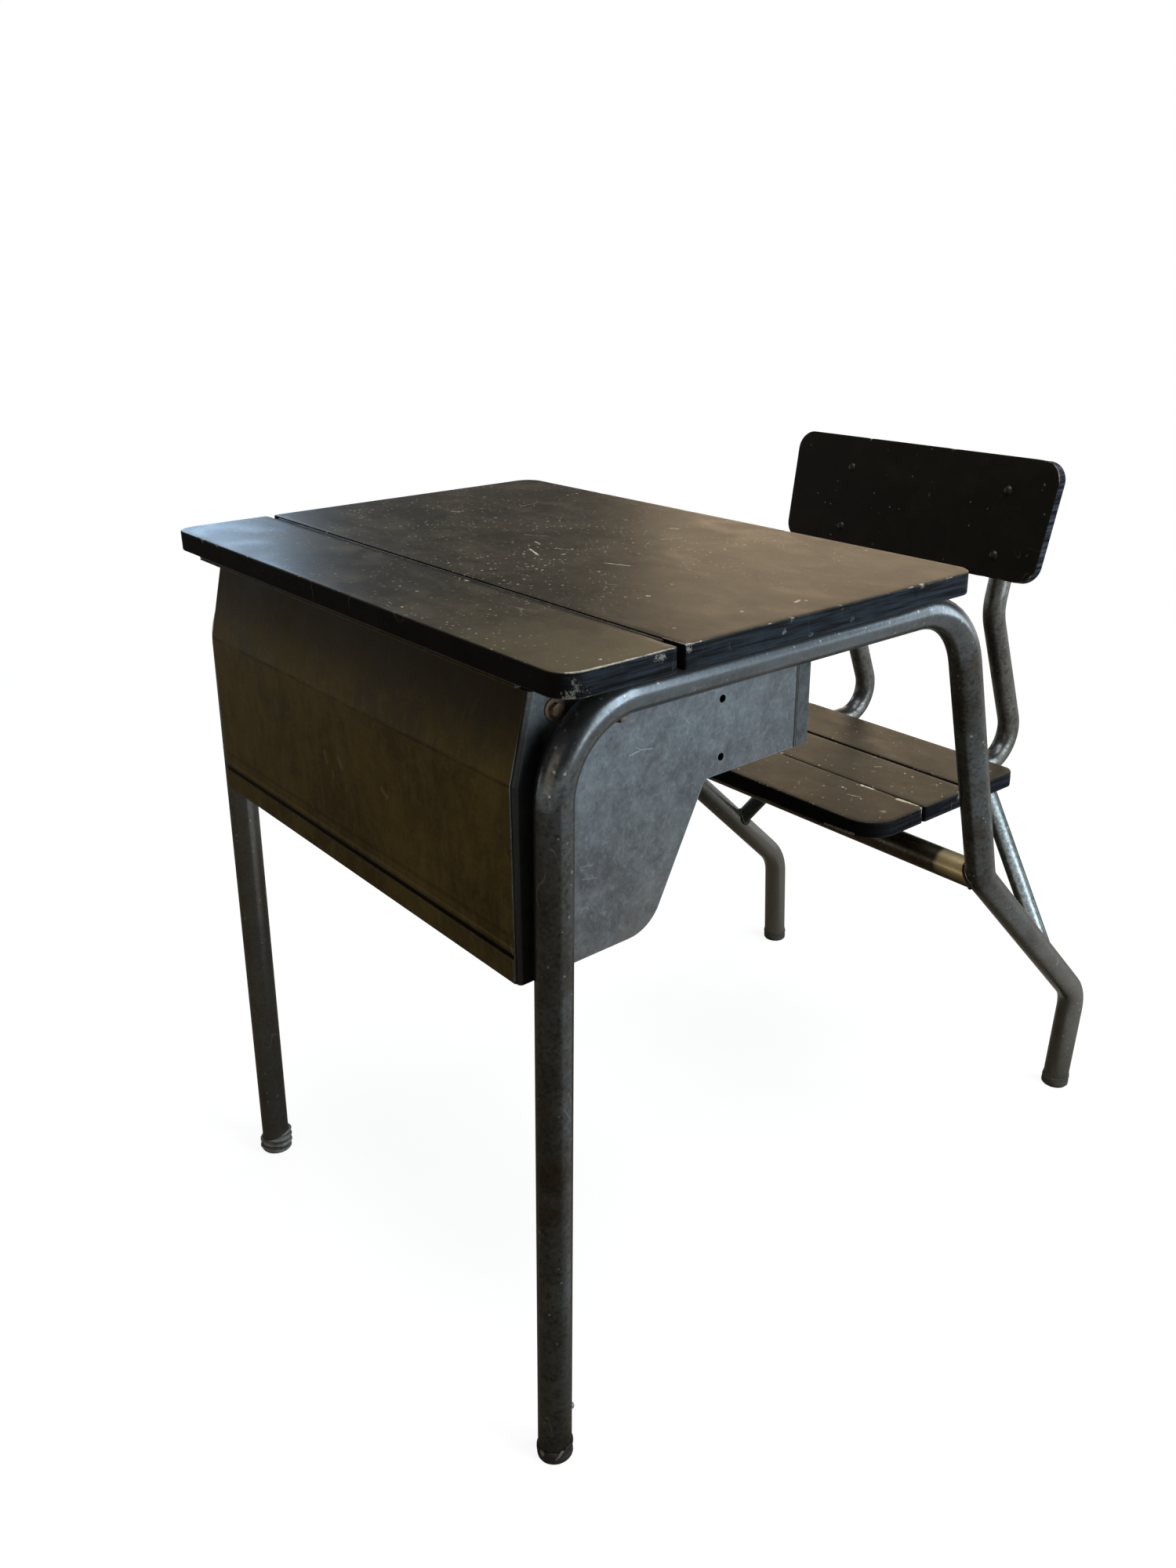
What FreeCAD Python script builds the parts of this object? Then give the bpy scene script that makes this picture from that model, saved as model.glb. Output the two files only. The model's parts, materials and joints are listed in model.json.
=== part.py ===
import FreeCAD, Part
import math
import os

# School desk with a lift lid and a seat on one tube frame. Units are millimetres.
# +Z is up, +Y points to the seat, +X is the pupil's left hand side.
# Lengths along Y are measured from the front edge of the top, and every solid is moved at
# the end so that the origin lies on the floor under the centre of the desk.
Vector = FreeCAD.Vector

# ---- driving dimensions -------------------------------------------------------------------
topHeight = 729.0            # upper face of the top above the floor
topWidth = 632.0
topDepth = 440.0
boardThickness = 19.0
stripDepth = 100.0           # fixed strip, from the front edge
lidSlot = 7.0                # slot between strip and lid, for the hinge
topCornerRadius = 20.0
arris = 1.4                  # rounding of the boards' long edges

tubeRadius = 15.0            # side frames and cross tube
tubeWall = 2.0
railDrop = 8.0               # from the rail's upper side to the top's underside
railInset = 43.5             # from the top's side edges in to the rails' axes
frontLegSetback = 24.8       # front leg at rail height, from the front edge
frontLegLean = 18.5          # the foot stands this much further forward
railRear = 481.0             # where the rail's axis meets the rear leg's axis
seatKinkY = 584.0
seatKinkZ = 373.0
heelY = 825.0
heelZ = 135.0
rearLegInset = 30.0          # rear feet stand this much nearer the centre than the rails
frontBendRadius = 71.0
rearBendRadius = 88.0
seatKinkRadius = 42.0
heelRadius = 55.0

capHeight = 15.0             # rubber foot caps
capWall = 1.3
capFloor = 5.0

railRadius = 12.5            # seat rails with their back uprights
railWall = 1.8
railHalfSpacing = 111.0
railFront = 540.0
lowBendRadius = 38.0
uprightBendRadius = 60.0
uprightRunY = 852.2          # the raked run starts here at rail height
uprightRake = 0.40           # and comes forward this much for each millimetre of height
uprightTop = 746.0

stayRadius = 10.5
stayWall = 1.6
stayFootY = 746.0            # where the stay's axis meets the rear leg's axis
stayHeadY = 781.0            # where it meets the seat rail's axis

seatFront = 492.0
slatDepths = (83.0, 76.0, 82.0)
slatGaps = (1.2, 4.0)
slatThickness = 18.0
seatHalfWidth = 188.0
seatFrontRadius = 36.0
seatRearRadius = 12.0
slatEndRadius = 4.0

backThickness = 12.0
backBottom = 634.5
backTop = 765.0
backHalfTop = 187.5
backHalfBottom = 181.5
backShift = -15.5            # the board hangs off centre on its uprights
backRecline = 0.207          # run back for each millimetre of height
backFaceY = 764.0            # front face at the lower bolts
backBoltLow = 659.0
backBoltPitch = 70.0
backCornerRadius = 22.0

sheet = 1.2                  # sheet metal box
boxClearance = 1.0           # between the box's sides and the tubes
panelInset = 4.5             # front panel and the bottom's lip, in from the sides' outer faces
flangeOverhang = 4.5         # front panel's top flange, past the sides' outer faces
cornerBend = 3.5             # outer bend of the sides round the front corners
boxTopY = 19.0
creaseY = -0.8
creaseDrop = 97.0            # crease below the top's upper face
boxBottomY = -2.2
boxDepth = 257.8             # front edge of the bottom below the top's upper face
bottomRise = 2.4             # the deep bottom falls a little to the front
deepRear = 128.0             # where the deep bottom and the slope would meet
deepBendRadius = 36.0
slopeEnd = 186.0             # the slope meets the shallow part here
shallowDrop = 139.7          # that edge below the top's upper face
shallowRise = 2.2
shallowBendRadius = 5.0
edgeBendRadius = 2.4
boxRear = 304.5
lipHeight = 21.0
hemThickness = 3.0
flangeFront = 1.0
notchWidth = 8.0             # relief notches in the panel's top corners
notchHeight = 8.0
rearFlangeWidth = 14.5
rearSeam = 0.7
rearTongue = 11.0
boxTopGap = 4.0              # the open rim stays this far under the lid
innerFlange = 14.0
bottomFlange = 11.0
rimFlange = 10.0

weldGap = 0.1                # between tubes that are welded together
seamGap = 0.1                # between folded sheets that are spot welded together
fitGap = 0.05                # around shanks and in caps
seatGap = 0.15               # between a bent tube and what is shaped to it

hingeRadius = 2.5
hingePinRadius = 1.2
hingeBore = 1.25
hingeLeaf = 0.8
hingeLeafDrop = 15.0
hingeInset = 21.0            # the hinge stops this far short of the top's side edges
knuckleCount = 19
knuckleGap = 0.4
hingeScrewCount = 7
hingeScrewRadius = 1.5
hingeScrewLength = 13.0
hingeScrewHead = 2.6
hingeScrewHeadHeight = 0.6

# ---- derived places -----------------------------------------------------------------------
topUnder = topHeight - boardThickness
frameHalfWidth = topWidth / 2 - railInset
boxHalfWidth = frameHalfWidth - tubeRadius - boxClearance
panelHalfWidth = boxHalfWidth - panelInset
flangeHalfWidth = boxHalfWidth + flangeOverhang
notchHalfWidth = panelHalfWidth - notchWidth
hingeHalfLength = topWidth / 2 - hingeInset
railZ = topUnder - railDrop - tubeRadius
frontFootY = frontLegSetback - frontLegLean
slotMiddle = stripDepth + lidSlot / 2
lidFront = stripDepth + lidSlot
hingeZ = topHeight - hingeRadius
seatRailZ = seatKinkZ + tubeRadius + weldGap + railRadius
slatUnder = seatRailZ + railRadius
slatTop = slatUnder + slatThickness
creaseZ = topHeight - creaseDrop
boxBottomZ = topHeight - boxDepth
shallowZ = topHeight - shallowDrop
boxRim = topUnder - boxTopGap

# the desk reaches from the front foot caps to the seat tubes' low bend
rakeAngle = math.atan(uprightRake)
lowTurn = math.pi / 2 + rakeAngle
lowBendCentreY = uprightRunY - lowBendRadius * math.tan(lowTurn / 2)
deskRear = lowBendCentreY + lowBendRadius + railRadius
deskFront = frontFootY - tubeRadius - capWall
middleY = (deskFront + deskRear) / 2

nodes = {}


# ---- helpers ------------------------------------------------------------------------------
def insetAt(z):
    """How far the rear leg has moved towards the centre at this height."""
    return rearLegInset * (railZ - z) / railZ


def cornerArc(corner, before, after, radius):
    """Start, middle and end of the arc that rounds a corner of a path."""
    toBefore = (before - corner).normalize()
    toAfter = (after - corner).normalize()
    half = toBefore.getAngle(toAfter) / 2
    reach = radius / math.tan(half)
    bisector = (toBefore + toAfter).normalize()
    middle = corner + bisector * (radius / math.sin(half) - radius)
    return corner + toBefore * reach, middle, corner + toAfter * reach


def roundedPath(points, radii):
    """An open path of straight runs joined by tangent arcs."""
    edges = []
    last = points[0]
    for index, radius in enumerate(radii, start=1):
        start, middle, end = cornerArc(points[index], points[index - 1], points[index + 1], radius)
        edges.append(Part.LineSegment(last, start).toShape())
        edges.append(Part.Arc(start, middle, end).toShape())
        last = end
    edges.append(Part.LineSegment(last, points[-1]).toShape())
    return Part.Wire(edges)


def roundedFace(corners):
    """A flat face from corners given as (place, radius), in order round its edge."""
    places = [place for place, radius in corners]
    ends = []
    for index, (place, radius) in enumerate(corners):
        before = places[index - 1]
        after = places[(index + 1) % len(places)]
        if radius > 0:
            ends.append(cornerArc(place, before, after, radius))
        else:
            ends.append((place, None, place))
    edges = []
    for index, (start, middle, end) in enumerate(ends):
        if middle is not None:
            edges.append(Part.Arc(start, middle, end).toShape())
        following = ends[(index + 1) % len(ends)][0]
        edges.append(Part.LineSegment(end, following).toShape())
    return Part.Face(Part.Wire(edges))


def rod(start, end, radius):
    """A round bar from one point to another."""
    along = end - start
    return Part.makeCylinder(radius, along.Length, start, along)


def swept(path, start, along, radius):
    """A round solid along a path."""
    ring = Part.Wire([Part.Circle(start, along, radius).toShape()])
    return path.makePipeShell([ring], True, False)


def bentTube(points, radii, radius, wall):
    """The outer solid of a bent tube, and the hollow tube itself."""
    path = roundedPath(points, radii)
    along = points[1] - points[0]
    outer = swept(path, points[0], along, radius)
    bore = swept(path, points[0], along, radius - wall)
    return outer, outer.cut(bore)


def block(x0, x1, y0, y1, z0, z1):
    return Part.makeBox(x1 - x0, y1 - y0, z1 - z0, Vector(x0, y0, z0))


def mirrored(shape):
    return shape.mirror(Vector(0, 0, 0), Vector(1, 0, 0))


def bothSides(shape):
    return Part.makeCompound([shape, mirrored(shape)])


def board(x0, x1, y0, y1, z0, thickness, radii):
    """A board with corner radii in the order front left, front right, rear right, rear left."""
    places = [Vector(x0, y0, z0), Vector(x1, y0, z0), Vector(x1, y1, z0), Vector(x0, y1, z0)]
    solid = roundedFace(list(zip(places, radii))).extrude(Vector(0, 0, thickness))
    return softened(solid, z0, z0 + thickness)


def softened(solid, low, high):
    """Round the edges that run round the upper and lower face."""
    rims = []
    for edge in solid.Edges:
        ends = [vertex.Z for vertex in edge.Vertexes]
        if max(ends) - min(ends) < 0.001 and (abs(ends[0] - low) < 0.001 or abs(ends[0] - high) < 0.001):
            rims.append(edge)
    return solid.makeFillet(arris, rims)


def profile(points, radii, x0, x1):
    """Extrude a closed outline of (y, z) corners from x0 to x1."""
    corners = [(Vector(x0, y, z), radius) for (y, z), radius in zip(points, radii)]
    return roundedFace(corners).extrude(Vector(x1 - x0, 0, 0))


def offsetPath(points, distance):
    """Move a path of (y, z) points to its left by a distance, with mitred corners."""
    normals = []
    for (y0, z0), (y1, z1) in zip(points, points[1:]):
        length = math.hypot(y1 - y0, z1 - z0)
        normals.append((-(z1 - z0) / length, (y1 - y0) / length))
    moved = []
    for index, (y, z) in enumerate(points):
        before = normals[max(index - 1, 0)]
        after = normals[min(index, len(normals) - 1)]
        share = 1 + before[0] * after[0] + before[1] * after[1]
        moved.append((y + distance * (before[0] + after[0]) / share,
                      z + distance * (before[1] + after[1]) / share))
    return moved


def foldedSheet(points, thickness, x0, x1, radii=None):
    """Sheet metal that follows a path of (y, z) points, with its thickness to the left.

    A bend to the right has a negative radius.
    """
    inner = offsetPath(points, thickness)
    radii = radii or [0] * len(points)
    innerRadii = [abs(radius - thickness) if radius else 0 for radius in radii]
    return profile(points + inner[::-1], [abs(radius) for radius in radii] + innerRadii[::-1], x0, x1)


def add(name, shape):
    nodes[name] = shape


# ---- tube frame ---------------------------------------------------------------------------
def axisEnd(start, end, distance):
    """The point at a distance from the start, on the way to the end."""
    return start + (end - start).normalize() * distance


frontFoot = Vector(frameHalfWidth, frontFootY, 0)
frontCorner = Vector(frameHalfWidth, frontLegSetback, railZ)
rearCorner = Vector(frameHalfWidth, railRear, railZ)
seatKink = Vector(frameHalfWidth - insetAt(seatKinkZ), seatKinkY, seatKinkZ)
heel = Vector(frameHalfWidth - insetAt(heelZ), heelY, heelZ)
rearFoot = Vector(frameHalfWidth - insetAt(0), heelY, 0)

strapBoltY = stripDepth - 16.0
strapBoltRadius = 3.0


def sideFrame():
    points = [axisEnd(frontFoot, frontCorner, capFloor), frontCorner, rearCorner, seatKink, heel,
              axisEnd(rearFoot, heel, capFloor)]
    radii = [frontBendRadius, rearBendRadius, seatKinkRadius, heelRadius]
    outer, tube = bentTube(points, radii, tubeRadius, tubeWall)
    boltHole = rod(Vector(frameHalfWidth, strapBoltY, railZ - 2 * tubeRadius),
                   Vector(frameHalfWidth, strapBoltY, topUnder), strapBoltRadius + fitGap)
    return outer, tube.cut(boltHole)


frameOuter, frameTube = sideFrame()


def footCap(foot, above):
    """A rubber cup on a leg's end, cut flat on the floor."""
    radius = tubeRadius + capWall
    along = (above - foot).normalize()
    cup = rod(foot - along * radius, foot + along * capHeight, radius)
    cup = cup.makeFillet(capWall * 0.7, [edge for edge in cup.Edges if edge.Vertexes[0].Z > capFloor
                                         and len(edge.Vertexes) == 1])
    socket = rod(foot + along * capFloor, foot + along * (capHeight + radius), tubeRadius + fitGap)
    below = block(foot.x - 60, foot.x + 60, foot.y - 60, foot.y + 60, -60, 0)
    return cup.cut(socket).cut(below)


def crossTube():
    ends = Vector(seatKink.x, seatKinkY, seatKinkZ)
    full = rod(Vector(-ends.x, ends.y, ends.z), ends, tubeRadius)
    bore = rod(Vector(-ends.x, ends.y, ends.z), ends, tubeRadius - tubeWall)
    cope = swept(roundedPath([axisEnd(seatKink, rearCorner, 60), seatKink, axisEnd(seatKink, heel, 60)],
                             [seatKinkRadius]),
                 axisEnd(seatKink, rearCorner, 60), seatKink - rearCorner, tubeRadius + weldGap)
    return full.cut(bore).cut(cope).cut(mirrored(cope))


# ---- seat rails, uprights and stays -------------------------------------------------------
def uprightAxisY(z):
    """Axis of the back upright behind the backrest board."""
    lean = math.sqrt(1 + backRecline ** 2)
    return backFaceY + (backThickness + weldGap + railRadius) * lean + backRecline * (z - backBoltLow)


def seatRail():
    bendZ = (uprightRunY + uprightRake * seatRailZ - uprightAxisY(0)) / (uprightRake + backRecline)
    points = [Vector(railHalfSpacing, railFront, seatRailZ),
              Vector(railHalfSpacing, uprightRunY, seatRailZ),
              Vector(railHalfSpacing, uprightAxisY(bendZ), bendZ),
              Vector(railHalfSpacing, uprightAxisY(uprightTop), uprightTop)]
    return bentTube(points, [lowBendRadius, uprightBendRadius], railRadius, railWall)


railOuter, railTube = seatRail()


def stay():
    share = (stayFootY - seatKinkY) / (heelY - seatKinkY)
    foot = seatKink + (heel - seatKink) * share
    head = Vector(railHalfSpacing, stayHeadY, seatRailZ)
    legCope = rod(seatKink, heel, tubeRadius + weldGap)
    railCope = rod(Vector(head.x, head.y - 60, head.z), Vector(head.x, head.y + 20, head.z),
                   railRadius + weldGap)
    solid = rod(foot, head, stayRadius).cut(rod(foot, head, stayRadius - stayWall))
    return solid.cut(legCope).cut(railCope)


slatStarts = [seatFront,
              seatFront + slatDepths[0] + slatGaps[0],
              seatFront + slatDepths[0] + slatGaps[0] + slatDepths[1] + slatGaps[1]]
slatScrewRadius = 2.5
slatScrewGrip = 11.0
slatScrewHead = 4.5
slatScrewHeadHeight = 2.4
slatScrewYs = [railFront + 16.0,
               seatKinkY + tubeRadius + 26.0,
               slatStarts[2] + slatDepths[2] / 2]


def slatScrewHoles(radius):
    holes = []
    for y in slatScrewYs:
        for side in (-1, 1):
            x = side * railHalfSpacing
            holes.append(rod(Vector(x, y, seatRailZ - 2 * railRadius),
                             Vector(x, y, slatUnder + slatScrewGrip), radius))
    return Part.makeCompound(holes)


def seatSlat(index):
    radii = [slatEndRadius] * 4
    if index == 0:
        radii = [seatFrontRadius, seatFrontRadius, slatEndRadius, slatEndRadius]
    if index == 2:
        radii = [slatEndRadius, slatEndRadius, seatRearRadius, seatRearRadius]
    y0 = slatStarts[index]
    solid = board(-seatHalfWidth, seatHalfWidth, y0, y0 + slatDepths[index], slatUnder,
                  slatThickness, radii)
    return solid.cut(slatScrewHoles(slatScrewRadius + fitGap))


def slatScrews():
    """Screws from under the rails; their round heads sit against the tubes."""
    screws = []
    low = seatRailZ - railRadius
    for y in slatScrewYs:
        for side in (-1, 1):
            x = side * railHalfSpacing
            shank = rod(Vector(x, y, low), Vector(x, y, slatUnder + slatScrewGrip - 0.5), slatScrewRadius)
            head = rod(Vector(x, y, low - slatScrewHeadHeight + 0.6), Vector(x, y, low + 0.6), slatScrewHead)
            screws.append(shank.fuse(head.cut(rod(Vector(x, y - 9, seatRailZ), Vector(x, y + 9, seatRailZ),
                                                  railRadius + fitGap))).removeSplitter())
    return Part.makeCompound(screws)


# ---- backrest -----------------------------------------------------------------------------
def backPlace(x, z, depth):
    """A point of the backrest: across, up and in from the front face."""
    lean = math.sqrt(1 + backRecline ** 2)
    y = backFaceY + backRecline * (z - backBoltLow)
    return Vector(x, y + depth / lean, z - depth * backRecline / lean)


def backrestBoard():
    corners = [(backPlace(backShift - backHalfBottom, backBottom, 0), backCornerRadius),
               (backPlace(backShift + backHalfBottom, backBottom, 0), backCornerRadius),
               (backPlace(backShift + backHalfTop, backTop, 0), backCornerRadius),
               (backPlace(backShift - backHalfTop, backTop, 0), backCornerRadius)]
    through = backPlace(0, 0, backThickness) - backPlace(0, 0, 0)
    solid = roundedFace(corners).extrude(through)
    rims = []
    for edge in solid.Edges:
        along = (edge.Vertexes[1].Point - edge.Vertexes[0].Point).normalize()
        if abs(along.dot(through)) < backThickness / 2:
            rims.append(edge)
    solid = solid.makeFillet(arris, rims)
    for x, z in backBoltPlaces():
        solid = solid.cut(rod(backPlace(x, z, -5), backPlace(x, z, backThickness + 5),
                              backBoltRadius + fitGap))
    return solid


backBoltRadius = 2.5
backBoltHead = 5.2
backBoltHeadHeight = 2.6
backNutRadius = 4.6
backNutHeight = 4.0


def backBoltPlaces():
    places = []
    for side in (-1, 1):
        for row in (0, 1):
            places.append((side * railHalfSpacing, backBoltLow + row * backBoltPitch))
    return places


backStack = backThickness + weldGap + 2 * railRadius


def domeHead(centre, outward, radius, height):
    """A round head with its flat side on a face."""
    ball = (radius ** 2 + height ** 2) / (2 * height)
    sphere = Part.makeSphere(ball, centre + outward * (height - ball))
    return sphere.common(rod(centre, centre + outward * (height + 1), radius))


def backBolts():
    bolts = []
    outward = (backPlace(0, 0, -1) - backPlace(0, 0, 0)).normalize()
    for x, z in backBoltPlaces():
        face = backPlace(x, z, 0)
        shank = rod(backPlace(x, z, -0.5), backPlace(x, z, backStack + backNutHeight + 2), backBoltRadius)
        bolts.append(shank.fuse(domeHead(face, outward, backBoltHead, backBoltHeadHeight)).removeSplitter())
    return Part.makeCompound(bolts)


def hexagon(centre, along, radius, height):
    """A hexagonal prism."""
    side = along.cross(Vector(1, 0, 0)) if abs(along.x) < 0.9 else along.cross(Vector(0, 1, 0))
    side.normalize()
    other = along.cross(side).normalize()
    corners = []
    for step in range(6):
        turn = math.radians(60 * step)
        corners.append((centre + side * (radius * math.cos(turn)) + other * (radius * math.sin(turn)), 0))
    return roundedFace(corners).extrude(along * height)


def backNuts():
    nuts = []
    inward = (backPlace(0, 0, 1) - backPlace(0, 0, 0)).normalize()
    for x, z in backBoltPlaces():
        seat = backPlace(x, z, backStack)
        nut = hexagon(seat - inward * 0.8, inward, backNutRadius, backNutHeight)
        hole = rod(seat - inward * 5, seat + inward * 9, backBoltRadius + fitGap)
        tube = rod(Vector(x, uprightAxisY(backBoltLow - 30), backBoltLow - 30),
                   Vector(x, uprightAxisY(uprightTop), uprightTop), railRadius + fitGap)
        nuts.append(nut.cut(hole).cut(tube))
    return Part.makeCompound(nuts)


def backBoltHoles():
    return Part.makeCompound([rod(backPlace(x, z, -5), backPlace(x, z, backStack + 5),
                                  backBoltRadius + fitGap) for x, z in backBoltPlaces()])


# ---- top boards and hinge -----------------------------------------------------------------
hingeScrewZ = topUnder + 5.5
slotEndRadius = 2.0


def hingeScrewXs():
    spacing = 2 * (hingeHalfLength - 25.0) / (hingeScrewCount - 1)
    return [-hingeHalfLength + 25.0 + spacing * index for index in range(hingeScrewCount)]


def hingeScrewHoles(side, radius):
    """side is -1 for the strip and 1 for the lid."""
    face = slotMiddle + side * lidSlot / 2
    holes = []
    for x in hingeScrewXs():
        holes.append(rod(Vector(x, face - side * 2, hingeScrewZ),
                         Vector(x, face + side * hingeScrewLength, hingeScrewZ), radius))
    return Part.makeCompound(holes)


def hingeScrews(side):
    leafFace = slotMiddle + side * (lidSlot / 2 - hingeLeaf)
    screws = []
    for x in hingeScrewXs():
        shank = rod(Vector(x, leafFace, hingeScrewZ),
                    Vector(x, leafFace + side * (hingeScrewLength - 1), hingeScrewZ), hingeScrewRadius)
        head = domeHead(Vector(x, leafFace, hingeScrewZ), Vector(0, -side, 0), hingeScrewHead,
                        hingeScrewHeadHeight)
        screws.append(shank.fuse(head).removeSplitter())
    return Part.makeCompound(screws)


def topStrip():
    half = topWidth / 2
    solid = board(-half, half, 0, stripDepth, topUnder, boardThickness,
                  [topCornerRadius, topCornerRadius, slotEndRadius, slotEndRadius])
    solid = solid.cut(hingeScrewHoles(-1, hingeScrewRadius + fitGap))
    for cutter in (strapBoltHoles(), bracketScrewHoles(), flangeScrewHoles()):
        solid = solid.cut(cutter)
    return solid


def lidBoard():
    half = topWidth / 2
    solid = board(-half, half, lidFront, topDepth, topUnder, boardThickness,
                  [slotEndRadius, slotEndRadius, topCornerRadius, topCornerRadius])
    return solid.cut(hingeScrewHoles(1, hingeScrewRadius + fitGap))


def hingeLeafSolid(side):
    """One leaf with its knuckles; the fixed leaf holds the even ones."""
    outerFace = slotMiddle + side * lidSlot / 2
    innerFace = outerFace - side * hingeLeaf
    low, high = sorted((outerFace, innerFace))
    leaf = block(-hingeHalfLength, hingeHalfLength, low, high, hingeZ - hingeLeafDrop, hingeZ - hingeBore)
    leaf = leaf.cut(hingeScrewHoles(side, hingeScrewRadius + fitGap))
    axis = Vector(0, slotMiddle, hingeZ)
    pitch = 2 * hingeHalfLength / knuckleCount
    webEnd = slotMiddle + side * (hingeRadius + hingeBore) / 2
    webLow, webHigh = sorted((outerFace, webEnd))
    pieces = []
    for index in range(knuckleCount):
        if (index % 2 == 0) != (side < 0):
            continue
        x0 = -hingeHalfLength + pitch * index + knuckleGap / 2
        x1 = x0 + pitch - knuckleGap
        pieces.append(rod(Vector(x0, axis.y, axis.z), Vector(x1, axis.y, axis.z), hingeRadius))
        pieces.append(block(x0, x1, webLow, webHigh, hingeZ - hingeBore - 0.6, hingeZ - 0.2))
    solid = leaf.multiFuse(pieces)
    bore = rod(Vector(-hingeHalfLength - 1, axis.y, axis.z), Vector(hingeHalfLength + 1, axis.y, axis.z),
               hingeBore)
    return solid.cut(bore).removeSplitter()


def hingePin():
    return rod(Vector(-hingeHalfLength, slotMiddle, hingeZ), Vector(hingeHalfLength, slotMiddle, hingeZ),
               hingePinRadius)


# ---- box ----------------------------------------------------------------------------------
frontPath = [(boxTopY, topUnder), (creaseY, creaseZ), (boxBottomY, boxBottomZ + 2 * sheet + seamGap)]
lipY = boxBottomY - sheet
bottomEndY = boxRear - sheet - seamGap
rearZ = shallowZ + shallowRise
bottomPath = [(lipY, boxBottomZ + lipHeight), (lipY, boxBottomZ), (deepRear, boxBottomZ + bottomRise),
              (slopeEnd, shallowZ), (bottomEndY, rearZ), (bottomEndY, rearZ + bottomFlange)]
bottomRadii = [0, edgeBendRadius, deepBendRadius, -shallowBendRadius, edgeBendRadius, 0]
sideInner = boxHalfWidth - sheet
bottomHalfWidth = sideInner - seamGap
rearSeamY = boxRear - rearFlangeWidth
cornerClear = cornerBend + 1.0


def notch():
    """Opening left in a top corner, where panel, flange and side meet."""
    return block(notchHalfWidth, boxHalfWidth + 1, -5, boxTopY + cornerBend + 2,
                 topUnder - hemThickness - notchHeight, topUnder - hemThickness)


def frontPanel():
    """Creased panel with a hemmed flange folded forward under the strip."""
    panel = foldedSheet(frontPath, sheet, -panelHalfWidth, panelHalfWidth)
    panel = panel.cut(notch()).cut(mirrored(notch()))
    hem = block(-flangeHalfWidth, flangeHalfWidth, flangeFront, boxTopY + sheet / 2,
                topUnder - hemThickness, topUnder)
    slit = block(-flangeHalfWidth, flangeHalfWidth, flangeFront, flangeFront + 6,
                 topUnder - hemThickness + sheet, topUnder - sheet)
    return panel.fuse(hem.cut(slit)).removeSplitter().cut(flangeScrewHoles())


def boxBottom():
    """Stepped bottom between the sides, with a lip over the front panel's lower edge."""
    tray = foldedSheet(bottomPath, sheet, -panelHalfWidth + seamGap, panelHalfWidth - seamGap, bottomRadii)
    wide = foldedSheet(bottomPath, sheet, -bottomHalfWidth, bottomHalfWidth, bottomRadii)
    wide = wide.common(block(-boxHalfWidth, boxHalfWidth, cornerClear, boxRear, boxBottomZ, topUnder))
    return tray.fuse(wide).removeSplitter()


def seamStrips():
    """Upright strips that follow the bottom's edges and are welded to the sides."""
    path = bottomPath[1:-1]
    low = sheet + seamGap
    outline = offsetPath(path, low) + offsetPath(path, bottomFlange)[::-1]
    radii = [0, deepBendRadius - low, shallowBendRadius + low, 0,
             0, shallowBendRadius + bottomFlange, deepBendRadius - bottomFlange, 0]
    strip = profile(outline, radii, bottomHalfWidth - sheet, bottomHalfWidth)
    return bothSides(strip.common(block(0, boxHalfWidth, cornerClear, rearSeamY - rearTongue - 2,
                                        boxBottomZ, topUnder)))


def flangeSection(origin, inward):
    """Cut through a side's front flange and its rounded corner."""
    across = Vector(1, 0, 0)
    start = origin + across * (boxHalfWidth - innerFlange)
    bendStart = origin + across * (boxHalfWidth - cornerBend)
    bendEnd = origin + across * boxHalfWidth + inward * cornerBend
    centre = bendStart + inward * cornerBend
    diagonal = (across - inward).normalize()
    inner = cornerBend - sheet
    edges = [Part.LineSegment(start, bendStart),
             Part.Arc(bendStart, centre + diagonal * cornerBend, bendEnd),
             Part.LineSegment(bendEnd, bendEnd - across * sheet),
             Part.Arc(bendEnd - across * sheet, centre + diagonal * inner, bendStart + inward * sheet),
             Part.LineSegment(bendStart + inward * sheet, start + inward * sheet),
             Part.LineSegment(start + inward * sheet, start)]
    return Part.Face(Part.Wire([edge.toShape() for edge in edges]))


def frontFlange(path):
    """A side's front flange along the creased path, mitred at the crease."""
    top, crease, low = [Vector(0, y, z) for y, z in path]
    upper = (crease - top).normalize()
    lower = (low - crease).normalize()
    bisector = (upper + lower).normalize()
    spread = Vector(0, -bisector.z, bisector.y) * 60
    pieces = []
    for start, along, side in ((top - upper * 20, upper, -1), (crease - lower * 20, lower, 1)):
        bar = flangeSection(start, Vector(0, -along.z, along.y)).extrude(along * 220)
        reach = bisector * (side * 260)
        zone = roundedFace([(crease + spread, 0), (crease - spread, 0), (crease - spread + reach, 0),
                            (crease + spread + reach, 0)]).extrude(Vector(boxHalfWidth + 1, 0, 0))
        pieces.append(bar.common(zone))
    return pieces[0].fuse(pieces[1]).common(block(0, boxHalfWidth + 1, -20, 60, low.z, top.z))


def atHeight(first, second, height):
    """Place on the line through two places where it passes a height."""
    share = (height - first[1]) / (second[1] - first[1])
    return (first[0] + share * (second[0] - first[0]), height)


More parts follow.
